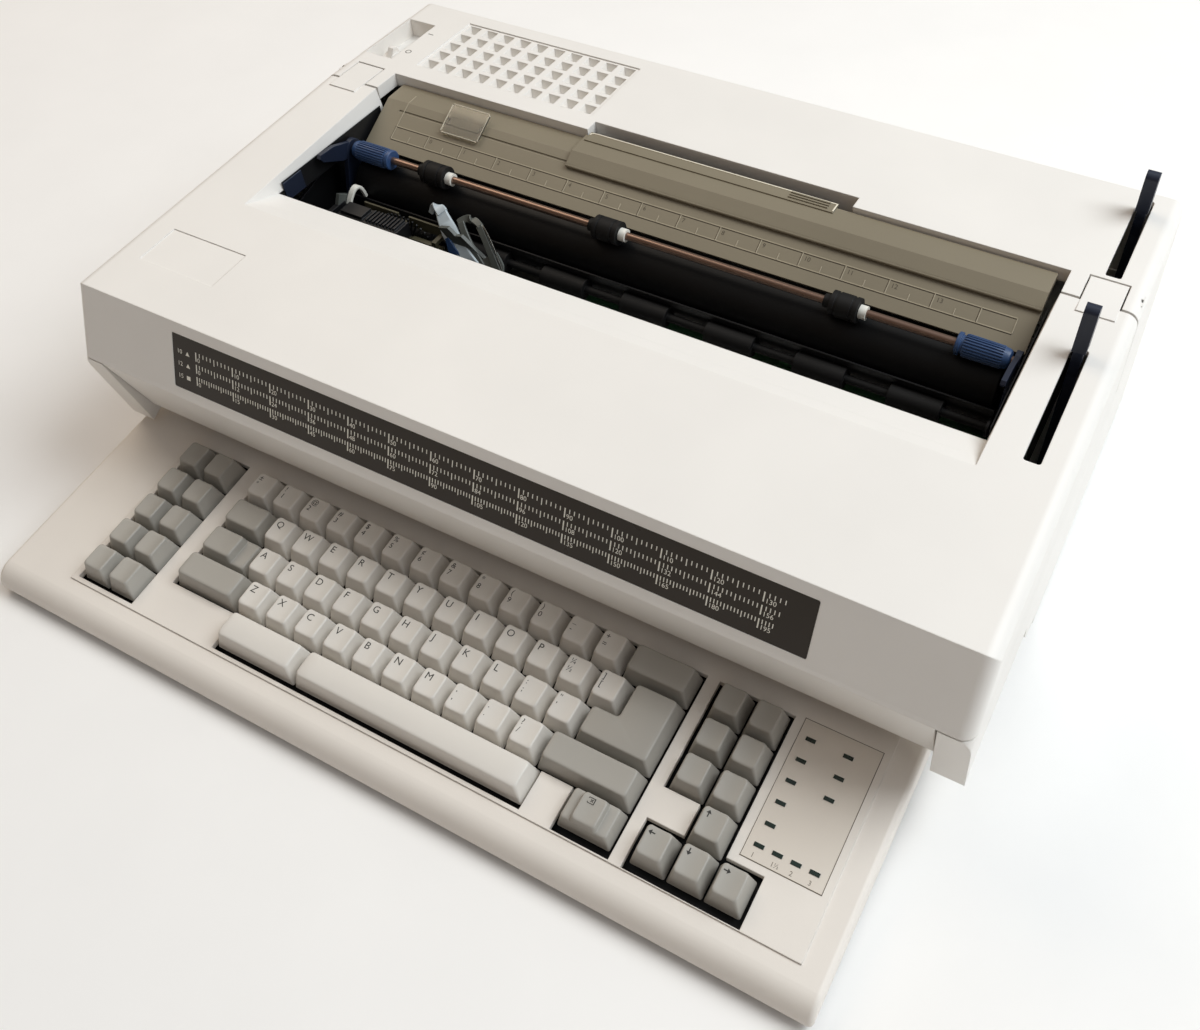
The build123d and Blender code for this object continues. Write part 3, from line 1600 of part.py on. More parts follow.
def key_cap(left, right, row):
    """A hollow tapered key cap with its stem, or stems on a wide key, under the top."""
    top = key_height + row_heights[row]
    middle = (left + right) / 2 * unit
    width = (right - left) * unit - key_gap
    depth = unit - key_gap
    top_width = width - 2 * key_side_slope
    top_depth = depth - key_front_slope - key_rear_slope
    base_v = -row * unit - top_shift
    with BuildSketch(deck_plane.offset(-key_skirt)) as foot:
        with Locations((middle, base_v)):
            RectangleRounded(width, depth, key_foot_corner)
    with BuildSketch(deck_plane.offset(top)) as head:
        with Locations((middle, base_v + top_shift)):
            RectangleRounded(top_width, top_depth, key_top_corner)
    loft([foot.sketch, head.sketch])
    with BuildSketch(deck_plane.offset(-key_skirt)) as foot_space:
        with Locations((middle, base_v)):
            Rectangle(width - 2 * key_wall, depth - 2 * key_wall)
    with BuildSketch(deck_plane.offset(top - key_wall)) as head_space:
        with Locations((middle, base_v + top_shift)):
            Rectangle(top_width - 2 * key_wall, top_depth - 2 * key_wall)
    loft([foot_space.sketch, head_space.sketch], mode=Mode.SUBTRACT)
    with BuildSketch(deck_plane.offset(top - key_wall / 2)) as stem:
        with Locations(*[(x, base_v) for x in stem_places(left, right)]):
            Circle(key_stem_radius)
    stem_foot = -plate_depth + plate_thickness + key_travel + stem_clear
    extrude(stem.sketch, amount=-(top - key_wall / 2 - stem_foot))


def stem_places(left, right):
    """One stem on a single key, two near the ends of a wide one, three under the space bar."""
    middle = (left + right) / 2 * unit
    reach = (right - left) / 2 * unit - 0.6 * unit
    if right - left > 4:
        return [middle - reach, middle, middle + reach]
    return [middle - reach, middle + reach] if right - left > 1.6 else [middle]


# Key plate: steel plate with a switch housing under each stem
housings = [
    (x, -row * unit - top_shift)
    for keys in key_groups.values()
    for left, right, row in keys
    for x in stem_places(left, right)
]
with BuildPart() as key_plate:
    with BuildSketch(deck_plane.offset(-plate_depth)) as plate:
        with Locations(((kb_left + kb_right) / 2 - keys_left, -2 * unit - 1)):
            Rectangle(kb_right - kb_left - 2 * kb_wall - 14, 5 * unit + 7)
    extrude(plate.sketch, amount=plate_thickness)
    with BuildSketch(deck_plane.offset(-plate_depth + plate_thickness)) as boxes:
        with Locations(*housings):
            Rectangle(housing_width, housing_width)
            Circle(key_stem_radius + 0.25, mode=Mode.SUBTRACT)
    extrude(boxes.sketch, amount=housing_height)
save(key_plate, "key_plate")

for label, keys in key_groups.items():
    with BuildPart() as caps:
        for left, right, row in keys:
            key_cap(left, right, row)
    save(caps, label)

# Indicator lamps: small green windows set in the case beside the keys
lamp_pitch = 11.1
lamp_top_y = -110.7
lamp_left = 189.0
lamp_right = 208.3
lamp_row_pitch = 9.17
lamp_width = 5.0
lamp_depth = 2.0
lamp_places = [(lamp_left, lamp_top_y - lamp_pitch * n) for n in range(5)]
lamp_places += [(lamp_right, lamp_top_y - lamp_pitch * n) for n in range(3)]
lamp_places += [(lamp_left - 0.4 + lamp_row_pitch * n, lamp_top_y - lamp_pitch * 4.96) for n in range(4)]
with BuildPart() as indicator_lamps:
    with BuildSketch(deck_plane) as lamps:
        with Locations(
            *[(x - keys_left, (y - row_origin_y) / cos(radians(kb_slope))) for x, y in lamp_places]
        ):
            Rectangle(lamp_width, lamp_depth)
    extrude(lamps.sketch, amount=0.4)
save(indicator_lamps, "indicator_lamps")

kb_foot_inset = 24.0
kb_foot_radius = 9.0
with BuildPart() as keyboard_feet:
    for x in (kb_left + kb_foot_inset, kb_right - kb_foot_inset):
        for y in (kb_front + kb_foot_inset, kb_rear - kb_foot_inset):
            post(x, y, kb_foot_radius, 0, kb_foot)
save(keyboard_feet, "keyboard_feet")
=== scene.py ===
"""Electronic typewriter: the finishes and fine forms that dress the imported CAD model."""

import math

import bmesh
import bpy
import numpy as np
from mathutils import Matrix


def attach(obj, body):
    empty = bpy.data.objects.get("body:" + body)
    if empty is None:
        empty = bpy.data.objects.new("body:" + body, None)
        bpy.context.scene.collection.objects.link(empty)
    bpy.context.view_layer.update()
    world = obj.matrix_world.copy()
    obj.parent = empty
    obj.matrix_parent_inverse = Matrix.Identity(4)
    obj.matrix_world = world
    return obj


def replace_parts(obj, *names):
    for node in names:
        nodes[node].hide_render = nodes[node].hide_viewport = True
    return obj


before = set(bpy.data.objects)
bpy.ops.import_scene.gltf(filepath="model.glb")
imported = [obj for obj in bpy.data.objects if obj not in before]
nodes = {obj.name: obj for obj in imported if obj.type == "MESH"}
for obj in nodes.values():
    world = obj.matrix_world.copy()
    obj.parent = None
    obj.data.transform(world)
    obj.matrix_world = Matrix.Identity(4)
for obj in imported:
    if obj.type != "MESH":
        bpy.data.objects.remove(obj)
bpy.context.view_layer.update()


# Base pan and covers. Warm off-white mouldings with a fine spark-eroded grain,
# screwed to the steel frame and hinged at the rear. Their corners are softly rounded.
def linear(shade):
    """Linear light from an sRGB shade written as six hex digits, channel by channel."""
    channels = [int(shade[i : i + 2], 16) / 255 for i in (0, 2, 4)]
    return [c / 12.92 if c <= 0.04045 else ((c + 0.055) / 1.055) ** 2.4 for c in channels]


def surface_finish(
    name, shade, rough, blotch=0.05, grain=0.0006, depth=0.00002, edge=0.0005, edge_highlight_colour=None,
    metal=0.0, shine=0.5, stretch=None,
):
    """A finish whose colour wanders with a slow noise, whose roughness wanders with a second,
    and whose height is a fine noise of the grain's size; corners are rounded in the normal, and
    where the rounded normal leaves the true one the colour moves to a paler painted edge highlight."""
    material = bpy.data.materials.new(name)
    material.use_nodes = True
    tree = material.node_tree
    link = tree.links.new
    shader = tree.nodes["Principled BSDF"]
    shader.inputs["Metallic"].default_value = metal
    shader.inputs["Specular IOR Level"].default_value = shine
    place = tree.nodes.new("ShaderNodeTexCoord").outputs["Object"]
    if stretch:
        mapping = tree.nodes.new("ShaderNodeMapping")
        mapping.inputs["Scale"].default_value = stretch
        link(place, mapping.inputs["Vector"])
        place = mapping.outputs["Vector"]

    def noise(scale, detail):
        made = tree.nodes.new("ShaderNodeTexNoise")
        made.inputs["Scale"].default_value = scale
        made.inputs["Detail"].default_value = detail
        link(place, made.inputs["Vector"])
        return made.outputs["Fac"]

    def ramp(factor, low, high, first, second):
        made = tree.nodes.new("ShaderNodeValToRGB")
        made.color_ramp.elements[0].position = low
        made.color_ramp.elements[1].position = high
        made.color_ramp.elements[0].color = (*first, 1)
        made.color_ramp.elements[1].color = (*second, 1)
        link(factor, made.inputs["Fac"])
        return made.outputs["Color"]

    base = np.array(linear(shade))
    colour = ramp(noise(14, 3), 0.3, 0.7, base * (1 - blotch), np.minimum(base * (1 + blotch), 1))
    rounded = tree.nodes.new("ShaderNodeBevel")
    rounded.samples = 4
    rounded.inputs["Radius"].default_value = edge
    true_normal = tree.nodes.new("ShaderNodeNewGeometry").outputs["Normal"]
    agree = tree.nodes.new("ShaderNodeVectorMath")
    agree.operation = "DOT_PRODUCT"
    link(rounded.outputs["Normal"], agree.inputs[0])
    link(true_normal, agree.inputs[1])
    # Painted highlight: on rounded edges, where the bevelled normal leaves the true one, the colour is
    # lightened towards the edge highlight colour.
    if edge_highlight_colour:
        edge_highlight_mix = tree.nodes.new("ShaderNodeMix")
        edge_highlight_mix.data_type = "RGBA"
        share = tree.nodes.new("ShaderNodeMapRange")
        share.inputs["From Min"].default_value = 0.97
        share.inputs["From Max"].default_value = 0.80
        share.inputs["To Max"].default_value = 0.8
        link(agree.outputs["Value"], share.inputs["Value"])
        link(share.outputs["Result"], edge_highlight_mix.inputs["Factor"])
        link(colour, edge_highlight_mix.inputs["A"])
        edge_highlight_mix.inputs["B"].default_value = (*linear(edge_highlight_colour), 1)
        colour = edge_highlight_mix.outputs["Result"]
    link(colour, shader.inputs["Base Color"])
    polish = tree.nodes.new("ShaderNodeMapRange")
    polish.inputs["To Min"].default_value = rough - 0.06
    polish.inputs["To Max"].default_value = rough + 0.06
    link(noise(60, 2), polish.inputs["Value"])
    link(polish.outputs["Result"], shader.inputs["Roughness"])
    relief = tree.nodes.new("ShaderNodeBump")
    relief.inputs["Strength"].default_value = 0.6
    relief.inputs["Distance"].default_value = depth
    link(noise(0.5 / grain, 2), relief.inputs["Height"])
    link(rounded.outputs["Normal"], relief.inputs["Normal"])
    link(relief.outputs["Normal"], shader.inputs["Normal"])
    return material


def dress(material, *names):
    """Gives CAD nodes a finish by their names."""
    for name in names:
        nodes[name].data.materials.clear()
        nodes[name].data.materials.append(material)


cover_plastic = surface_finish(
    "cover_plastic", "EAE6E0", 0.5, 0.02, 0.0007, 0.00003, 0.0009, "F1ECE4"
)
dress(cover_plastic, "base_pan", "access_cover", "rear_cover", "power_rocker")


# Rubber feet, belt and platen cover. Black rubber, ground on the platen and moulded elsewhere.
rubber = surface_finish(
    "black_rubber", "0E0D0D", 0.62, 0.15, 0.0004, 0.00003, 0.0004, "242222", shine=0.3
)
platen_rubber = surface_finish(
    "platen_rubber", "040405", 0.5, 0.12, 0.0005, 0.00001, 0.0004, shine=0.25
)
dress(rubber, "rubber_feet", "keyboard_feet", "drive_belt", "feed_rollers", "bail_rollers")
dress(platen_rubber, "platen_roller")


# Machine frame. Punched and zinc plated steel plates that carry the bushes, rails and platen.
plated_steel = surface_finish(
    "plated_steel", "6E6C66", 0.42, 0.12, 0.0012, 0.00001, 0.0003, "8B8983", metal=0.9
)
dark_steel = surface_finish(
    "dark_steel", "1B1B1D", 0.5, 0.12, 0.0010, 0.00001, 0.0003, "2E2E32", metal=0.7
)
dress(dark_steel, "machine_frame", "platen_motor", "carrier_motor", "printwheel_motor")
dress(plated_steel, "frame_screws", "cover_hinge_pins", "release_shaft", "guide_rails", "platen_shaft")


# Gears, bushes, pulleys and print wheel. Unfilled nylon and acetal mouldings.
white_plastic = surface_finish("white_plastic", "E9E6DC", 0.38, 0.03, 0.0008, 0.00001, 0.0003)
black_plastic = surface_finish(
    "black_plastic", "0D0D0F", 0.45, 0.12, 0.0007, 0.00003, 0.0004, "26262B"
)
dress(white_plastic, "frame_bushes", "bail_bushes", "platen_gear", "platen_pinion")
dress(white_plastic, "drive_pulley", "idler_pulley")
dress(
    black_plastic, "printwheel", "paper_deflector", "carrier_frame", "ribbon_cartridge",
    "power_inlet", "card_guide",
)


# Power supply and logic board. A folded steel box, and a green glass-fibre board with its parts.
board_green = surface_finish("board_green", "2C5234", 0.35, 0.12, 0.0016, 0.00002, 0.0002, "4C7A50")
dress(board_green, "logic_board")
dress(plated_steel, "power_supply")


# Drawing a piece. Points are worked out in millimetres on grids and put in the mesh in metres.
millimetre = 0.001
crisp_angle = math.radians(35)


def grid_faces(rings, around):
    """Quads between neighbouring rings of a grid, numbered ring by ring."""
    row, col = np.meshgrid(np.arange(rings - 1), np.arange(around), indexing="ij")
    after = (col + 1) % around
    near, far = row * around, (row + 1) * around
    return np.stack((near + col, near + after, far + after, far + col), -1).reshape(-1, 4).tolist()


def put_piece(name, parts, body):
    """One object at the origin from (points, faces, material) parts: doubles are merged, the
    faces are turned outwards, and edges sharper than the crisp angle stay sharp."""
    points, faces, owner, materials, first = [], [], [], [], 0
    for part_points, part_faces, material in parts:
        if material not in materials:
            materials.append(material)
        points.append(np.asarray(part_points, float) * millimetre)
        faces += [[i + first for i in face] for face in part_faces]
        owner += [materials.index(material)] * len(part_faces)
        first += len(part_points)
    mesh = bpy.data.meshes.new(name)
    mesh.from_pydata(np.concatenate(points).tolist(), [], faces)
    mesh.polygons.foreach_set("material_index", owner)
    for material in materials:
        mesh.materials.append(material)
    form = bmesh.new()
    form.from_mesh(mesh)
    bmesh.ops.remove_doubles(form, verts=form.verts, dist=1e-6)
    bmesh.ops.recalc_face_normals(form, faces=form.faces)
    form.to_mesh(mesh)
    form.free()
    mesh.polygons.foreach_set("use_smooth", [True] * len(mesh.polygons))
    mesh.set_sharp_from_angle(angle=crisp_angle)
    piece = bpy.data.objects.new(name, mesh)
    bpy.context.scene.collection.objects.link(piece)
    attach(piece, body)
    return piece


def bar(corners, frame_of, material):
    """A straight-sided block: x from, x to, s from, s to, h from, h to in the frame of a plane."""
    x0, x1, s0, s1, h0, h1 = corners
    x, s, h = np.meshgrid([x0, x1], [s0, s1], [h0, h1], indexing="ij")
    points = frame_of(x.ravel(), s.ravel(), h.ravel())
    faces = [[0, 1, 3, 2], [4, 6, 7, 5], [0, 4, 5, 1], [2, 3, 7, 6], [0, 2, 6, 4], [1, 5, 7, 3]]
    return points, faces, material


# Paper table. Olive plastic sheet moulding behind the platen with a moulded inch ruler, a clear
# card holder snapped on its left part and a folding support let into its upper edge.
olive_plastic = surface_finish(
    "olive_plastic", "837A67", 0.42, 0.04, 0.0007, 0.00002, 0.0004, "B0A58F"
)
dress(olive_plastic, "paper_table", "paper_support")
table_foot_y, table_foot_z = 88.8, 123.94
table_slope = math.radians(29)


def on_table(x, s, h):
    """A place on the table's slope: s up the slope from its foot, h above the surface."""
    y = table_foot_y + s * math.cos(table_slope) - h * math.sin(table_slope)
    z = table_foot_z + s * math.sin(table_slope) + h * math.cos(table_slope)
    return np.stack([x, y, z], -1)


glyph_store = {}


def glyphs(text, height):
    """The filled outlines of a line of type, as flat points with capitals of that height."""
    for words in (text, "H"):
        if words in glyph_store:
            continue
        curve = bpy.data.curves.new("glyphs", "FONT")
        curve.body = words
        curve.resolution_u = 3
        holder = bpy.data.objects.new("glyphs", curve)
        bpy.context.scene.collection.objects.link(holder)
        bpy.context.view_layer.update()
        flat = bpy.data.meshes.new_from_object(
            holder.evaluated_get(bpy.context.evaluated_depsgraph_get())
        )
        places = np.zeros(len(flat.vertices) * 3)
        flat.vertices.foreach_get("co", places)
        glyph_store[words] = (places.reshape(-1, 3)[:, :2], [list(p.vertices) for p in flat.polygons])
        bpy.data.objects.remove(holder)
        bpy.data.curves.remove(curve)
        bpy.data.meshes.remove(flat)
    scale = height / np.ptp(glyph_store["H"][0][:, 1])
    places, faces = glyph_store[text]
    return places * scale, faces


def print_flat(text, height, x, s, lift, frame_of, material):
    """Type laid on a plane with its foot at s and its left edge at x."""
    places, faces = glyphs(text, height)
    return frame_of(places[:, 0] + x, places[:, 1] + s, np.full(len(places), lift)), faces, material


inch = 25.4
ruler_low, ruler_high = 8.6, 17.4
ruler_zero = -171.6
ruler_start, ruler_end = ruler_zero - inch, ruler_zero + 14.75 * inch
ridge_half, shadow_reach = 0.3, 0.75
line_root, shadow_top, ridge_top = -0.3, 0.04, 0.22
# The dark ruler material prints the figures and also paints each ridge's shadow; the ridges are painted
# paler as a highlight.
ruler_ink_and_shadow = surface_finish("ruler_print_and_painted_shadow", "4A4234", 0.5, 0.05)
ridge_highlight = surface_finish("ruler_ridge_highlight", "A69B85", 0.45, 0.04)


def ridge(x0, x1, s0, s1):
    """A moulded line that stands a little above the table, painted paler as a highlight."""
    return bar((x0, x1, s0, s1, line_root, ridge_top), on_table, ridge_highlight)


def groove(x0, x1, s0, s1):
    """A painted shadow: a dark strip at the foot of a ridge, on the side where its shade falls."""
    return bar((x0, x1, s0, s1, line_root, shadow_top), on_table, ruler_ink_and_shadow)


ruler = []
for s in (ruler_low, ruler_high):
    ruler.append(ridge(ruler_start, ruler_end, s - ridge_half, s + ridge_half))
    ruler.append(groove(ruler_start, ruler_end, s - shadow_reach, s - ridge_half))
for n in range(-1, 15):
    x = ruler_zero + n * inch
    ruler.append(ridge(x - ridge_half, x + ridge_half, ruler_low, ruler_high))
    ruler.append(groove(x - shadow_reach, x - ridge_half, ruler_low, ruler_high))
    if n < 14:
        middle = x + inch / 2
        ruler.append(ridge(middle - ridge_half, middle + ridge_half, ruler_low, ruler_low + 4))
    if 0 <= n < 14:
        ruler.append(print_flat(str(n), 2.6, x + 1.6, ruler_high - 4.4, 0.06, on_table, ruler_ink_and_shadow))
ruler.append(ridge(ruler_end - ridge_half, ruler_end + ridge_half, ruler_low, ruler_high))

# The paper edge's ridge runs up the slope from the ruler and on over the bend, painted paler as a highlight
# like the others.
paper_edge = (-197.3, -196.7)
bend_s, bend_y, bend_z = 34.0, 118.6, 140.46
ruler.append(bar((*paper_edge, ruler_high, bend_s, line_root, 0.3), on_table, ridge_highlight))
over_bend = ((-0.2, -0.4), (-0.2, 0.25), (8, 0.7), (8, 0))
ruler.append((
    np.array([(x, bend_y + along, bend_z + lift) for x in paper_edge for along, lift in over_bend]),
    [[0, 1, 2, 3], [4, 5, 6, 7], [0, 1, 5, 4], [1, 2, 6, 5], [2, 3, 7, 6]],
    ridge_highlight,
))
put_piece("table_ruler", ruler, "chassis")

# A painted highlight on the paper support's upper edge: a thin pale rim that follows its rear and right
# sides, where the light catches it.
edge_highlight_paint = surface_finish("support_edge_highlight", "E6DDC9", 0.4, 0.04, 0.0008, 0.00001, 0.0003)
support_top, rim_root, rim_lift = 144.42, -0.6, 0.25
edge_line = [
    (-73.0, 134.2), (-72.4, 135.7), (-70.6, 136.7), (-67.5, 137.0), (88.0, 137.0), (88.0, 129.6),
]
edge_inner = [
    (-72.2, 134.2), (-71.7, 135.3), (-70.3, 136.0), (-67.5, 136.2), (87.1, 136.2), (87.1, 129.6),
]
edge_points = [
    (x, y, support_top + lift) for x, y in edge_line + edge_inner for lift in (rim_root, rim_lift)
]
edge_faces = []
for n in range(len(edge_line) - 1):
    outside, inside = 2 * n, 2 * n + 2 * len(edge_line)
    edge_faces.append([outside, outside + 1, outside + 3, outside + 2])
    edge_faces.append([inside, inside + 1, inside + 3, inside + 2])
    edge_faces.append([outside + 1, outside + 3, inside + 3, inside + 1])
    edge_faces.append([outside, outside + 2, inside + 2, inside])
edge_faces += [[0, 1, 13, 12], [10, 11, 23, 22]]
support_highlight_rim = (np.array(edge_points), edge_faces, edge_highlight_paint)
put_piece("support_edge_highlight", [support_highlight_rim], "support")

# The card holder is clear, with painted highlights as bright rims where light gathers at its edges.
clear_pane = surface_finish("clear_pane", "F2EEE4", 0.08, 0.02, 0.002, 0.00001, 0.0004, "FFFBF0")
shader = clear_pane.node_tree.nodes["Principled BSDF"]
shader.inputs["Transmission Weight"].default_value = 0.92
shader.inputs["IOR"].default_value = 1.3
dress(clear_pane, "card_holder")
card_left, card_right = -165.0, -137.0
card_low = (107.6 - table_foot_y) / math.cos(table_slope)
card_high = (125.1 - table_foot_y) / math.cos(table_slope)
card_rim, card_corner = 0.35, 1
card_back, card_face = 1.55, 2.68
highlight_rims = []
for x0, x1, s0, s1 in (
    (card_left + card_corner, card_right - card_corner, card_low, card_low + card_rim),
    (card_left + card_corner, card_right - card_corner, card_high - card_rim, card_high),
    (card_left, card_left + card_rim, card_low + card_corner, card_high - card_corner),
    (card_right - card_rim, card_right, card_low + card_corner, card_high - card_corner),
):
    highlight_rims.append(bar((x0, x1, s0, s1, card_back, card_face), on_table, edge_highlight_paint))
put_piece("card_holder_highlight_rims", highlight_rims, "chassis")


# Paper bail. A plated shaft with three grooved rubber rollers and white stop bushes, ribbed blue
# knobs at its ends, and dark blue arms with a lever that stands up through the cover's slot.
copper_steel = surface_finish(
    "plated_shaft", "8C7467", 0.3, 0.1, 0.0010, 0.00001, 0.0003, metal=0.85, stretch=(0.05, 1, 1)
)
navy_plastic = surface_finish("navy_plastic", "1B2233", 0.38, 0.1, 0.0007, 0.00002, 0.0004, "3B4660")
blue_plastic = surface_finish("blue_plastic", "2E4870", 0.42, 0.08, 0.0007, 0.00002, 0.0003, "56719A")
dress(copper_steel, "bail_shaft")

# The bush on the left of each roller is black, the one on its right white.
bushes = nodes["bail_bushes"]
bushes.data.materials.append(rubber)
roller_places = (-0.1469, -0.0267, 0.1191)
for face in bushes.data.polygons:
    x = (bushes.matrix_world @ face.center).x
    nearest = min(roller_places, key=lambda place: abs(place - x))
    face.material_index = 1 if x < nearest else 0
dress(navy_plastic, "bail_arms", "bail_lever", "release_lever")
bail_y, bail_z = 77.1, 128.5


def turned(stations, centre_y, centre_z, around, ribs=0, rib_depth=0.0):
    """A form turned about a line along X: each station is (x, radius, rib share), and a ribbed
    station's radius falls by the depth between ribs as a flattened cosine of the angle."""
    x, radius, share = np.array(stations, float).T
    angle = np.linspace(0, 2 * math.pi, around, endpoint=False)
    wave = np.clip(0.5 + 1.2 * np.cos(ribs * angle), 0, 1) if ribs else np.ones(around)
    r = radius[:, None] - rib_depth * share[:, None] * (1 - wave[None, :])
    along = np.broadcast_to(x[:, None], r.shape)
    points = np.stack([along, centre_y + r * np.cos(angle), centre_z + r * np.sin(angle)], -1)
    return points.reshape(-1, 3), grid_faces(len(x), around)


knob_in, knob_out, knob_radius = 180.3, 208.9, 6.25
knob_ribs, knob_rib_depth, knob_around = 24, 0.75, 144
for side, name in ((-1, "left"), (1, "right")):
    stations = [
        (knob_in, 0, 0), (knob_in, 5.6, 0), (knob_in + 0.4, 6.1, 0), (knob_in + 2.2, 6.15, 0),
        (knob_in + 2.5, 5.0, 0), (knob_in + 3.8, 5.0, 0), (knob_in + 4.1, 6.0, 1),
        (knob_in + 5.0, knob_radius, 1), (knob_in + 12, knob_radius, 1), (knob_in + 18, 6.2, 1),
        (knob_out - 4.6, 6.1, 1), (knob_out - 4.0, 5.7, 0), (knob_out - 2.0, 5.5, 0),
        (knob_out - 0.8, 5.0, 0), (knob_out, 3.6, 0), (knob_out, 0, 0),
    ]
    stations = [(side * x, radius, share) for x, radius, share in stations]
    points, faces = turned(stations, bail_y, bail_z, knob_around, knob_ribs, knob_rib_depth)
    knob = put_piece("bail_knob_" + name, [(points, faces, blue_plastic)], "bail")
    if side == -1:
        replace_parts(knob, "bail_knobs")


# Carrier. The black frame that rides the rails with the print wheel, the ribbon cassette on top
# with its coloured latch levers, and a card guide of dark olive plastic in front of the platen.
grey_plastic = surface_finish("latch_grey", "50534F", 0.4, 0.1, 0.0007, 0.00002, 0.0004, "7C807C")
pale_plastic = surface_finish("latch_pale", "B9C3C8", 0.36, 0.05, 0.0007, 0.00002, 0.0003, "DDE4E8")
dark_olive = surface_finish("card_guide_olive", "4A4636", 0.35, 0.08, 0.0007, 0.00002, 0.0003)
dress(grey_plastic, "ribbon_levers")
dress(dark_olive, "card_guide")


def ribbon(path, wide, thick, material):
    """A strip along a quadratic curve through three points: at each station a rounded section of
    eight points stands square to the curve, the given width across X and the thickness over it."""
    count = 24
    start, middle, end = (np.array(p, float) for p in path)
    bend = 2 * middle - (start + end) / 2
    share = np.linspace(0, 1, count)[:, None]
    line = (1 - share) ** 2 * start + 2 * share * (1 - share) * bend + share**2 * end
    along = np.gradient(line, axis=0)
    along /= np.linalg.norm(along, axis=1)[:, None]
    across = np.array([1.0, 0, 0]) - along * along[:, :1]
    across /= np.linalg.norm(across, axis=1)[:, None]
    over = np.cross(across, along)
    widths = np.interp(share[:, 0], np.linspace(0, 1, len(wide)), wide)
    corners = np.array(
        [(1, -0.5), (1, 0.5), (0.85, 1), (-0.85, 1), (-1, 0.5), (-1, -0.5), (-0.85, -1), (0.85, -1)]
    )
    points = (
        line[:, None]
        + across[:, None] * corners[None, :, :1] * widths[:, None, None] / 2
        + over[:, None] * corners[None, :, 1:] * thick / 2
    )
    around = len(corners)
    faces = grid_faces(count, around)
    faces += [list(range(around)), list(range((count - 1) * around, count * around))]
    return points.reshape(-1, 3), faces, material


def upright(x, s, h):
    """The machine's own frame: s along Y and h along Z."""
    return np.stack([x, s, h], -1)


fittings = [
    # The upright lever at the left end and the white hook over its top.
    ribbon([(-201.6, 44, 84), (-201.6, 46, 100), (-201.6, 52, 113.5)], (3.0, 3.0, 3.0), 13.0, grey_plastic),
    ribbon([(-198.4, 50, 108), (-197.2, 58, 116), (-196.6, 63.4, 106)], (3.4, 4.2, 2), 2, white_plastic),
    # The cassette's block and its cap, then the card guide's ledge and its raised middle.
    bar((-198, -153, 38, 50.4, 99, 109.2), upright, black_plastic),
    bar((-196, -180, 39.5, 49, 109, 111.4), upright, black_plastic),
    bar((-157, -128, 46, 50.4, 97.4, 99.2), upright, dark_olive),
    bar((-150, -134, 46.6, 49.8, 99, 100.6), upright, dark_olive),
    # The pale latch lever, its bent tip and the blue tab under it.
    ribbon([(-102, 46, 97), (-119, 51, 106), (-135, 61, 116.6)], (7.0, 9.0, 11.0, 7.0), 2.0, pale_plastic),
    ribbon([(-133, 60, 116.4), (-140, 63, 117), (-144.5, 62.5, 111)], (7.0, 5.6, 3.0), 2.0, pale_plastic),
    ribbon([(-112, 45, 95), (-118, 47, 100), (-124, 50, 108)], (9.0, 8.0, 3.0), 1.8, blue_plastic),
    # The grey latch: two arms, the bridge across their tops, the broad foot and a bright wire.
    ribbon([(-97, 45.6, 96), (-111, 53, 108), (-119, 59, 115)], (6.0, 4.6, 4.4), 1.8, grey_plastic),
    ribbon([(-85.5, 45.6, 97), (-97, 53.4, 109), (-106, 59.4, 116.5)], (5.4, 4.2, 4.2), 1.8, grey_plastic),
    ribbon(
        [(-121, 58.6, 114.4), (-114, 61.8, 117.2), (-104.6, 59.2, 116.4)], (3.6, 5.0, 3.6), 1.8,
        grey_plastic,
    ),
    ribbon([(-91, 45.2, 95.2), (-92, 47.6, 98.6), (-96, 51, 103)], (15.0, 17.0, 13.0), 1.8, grey_plastic),
    ribbon(
        [(-83.5, 46.6, 99), (-95, 54.6, 112), (-104.5, 60.2, 117.2)], (0.9, 0.9, 0.9), 0.9,
        plated_steel,
    ),
]
rib_count, rib_pitch, rib_width, first_rib = 9, 2.6, 1.1, -177
for n in range(rib_count):
    x = first_rib + rib_pitch * n
    fittings.append(bar((x, x + rib_width, 39.5, 49.6, 109, 111.0), upright, black_plastic))
put_piece("carrier_fittings", fittings, "carrier")


# Arm flanges. The stiffened front edges of the bail arms beside the knobs.
flange_outline = np.array(
    [(77, 133.5), (62, 138.6), (50, 139.4), (48.6, 137.4), (51, 134), (66, 126), (77, 123.5)]
)
flange_outer, flange_inner = 213.2, 210.6
count = len(flange_outline)
flanges = []
for side in (-1, 1):
    parts = [np.insert(flange_outline, 0, side * x, axis=1) for x in (flange_outer, flange_inner)]
    faces = [list(range(count)), list(range(count, 2 * count)), *grid_faces(2, count)]
    flanges.append((np.concatenate(parts), faces, navy_plastic))
put_piece("arm_flanges", flanges, "bail")


# Glint strips. Painted highlights: thin bright steel and copper rods along both edges of each window in the
# paper deflector, standing in for the glints on the glossy feed rollers where the paper passes between the
# platen and the feed rollers.
glint_steel = surface_finish("glint_steel", "D8D8D4", 0.2, 0.05, metal=1.0)
platen_y, platen_z = 84, 103.1
strip_reach, strip_radius, strip_sides = 20.0, 0.24, 12
glint_strips = []
for left, right in ((-69, -40), (-15, 18), (43, 75), (98, 129), (152, 184)):
    for angle, shift, material in ((183.5, 1.5, glint_steel), (197.5, -1.0, copper_steel)):
        y = platen_y + strip_reach * math.cos(math.radians(angle))
        z = platen_z + strip_reach * math.sin(math.radians(angle))
        x0, x1 = left + shift, right + shift
        stations = [(x0, 0, 0), (x0, strip_radius, 0), (x1, strip_radius, 0), (x1, 0, 0)]
        glint_strips.append((*turned(stations, y, z, strip_sides), material))
put_piece("painted_glint_strips", glint_strips, "chassis")


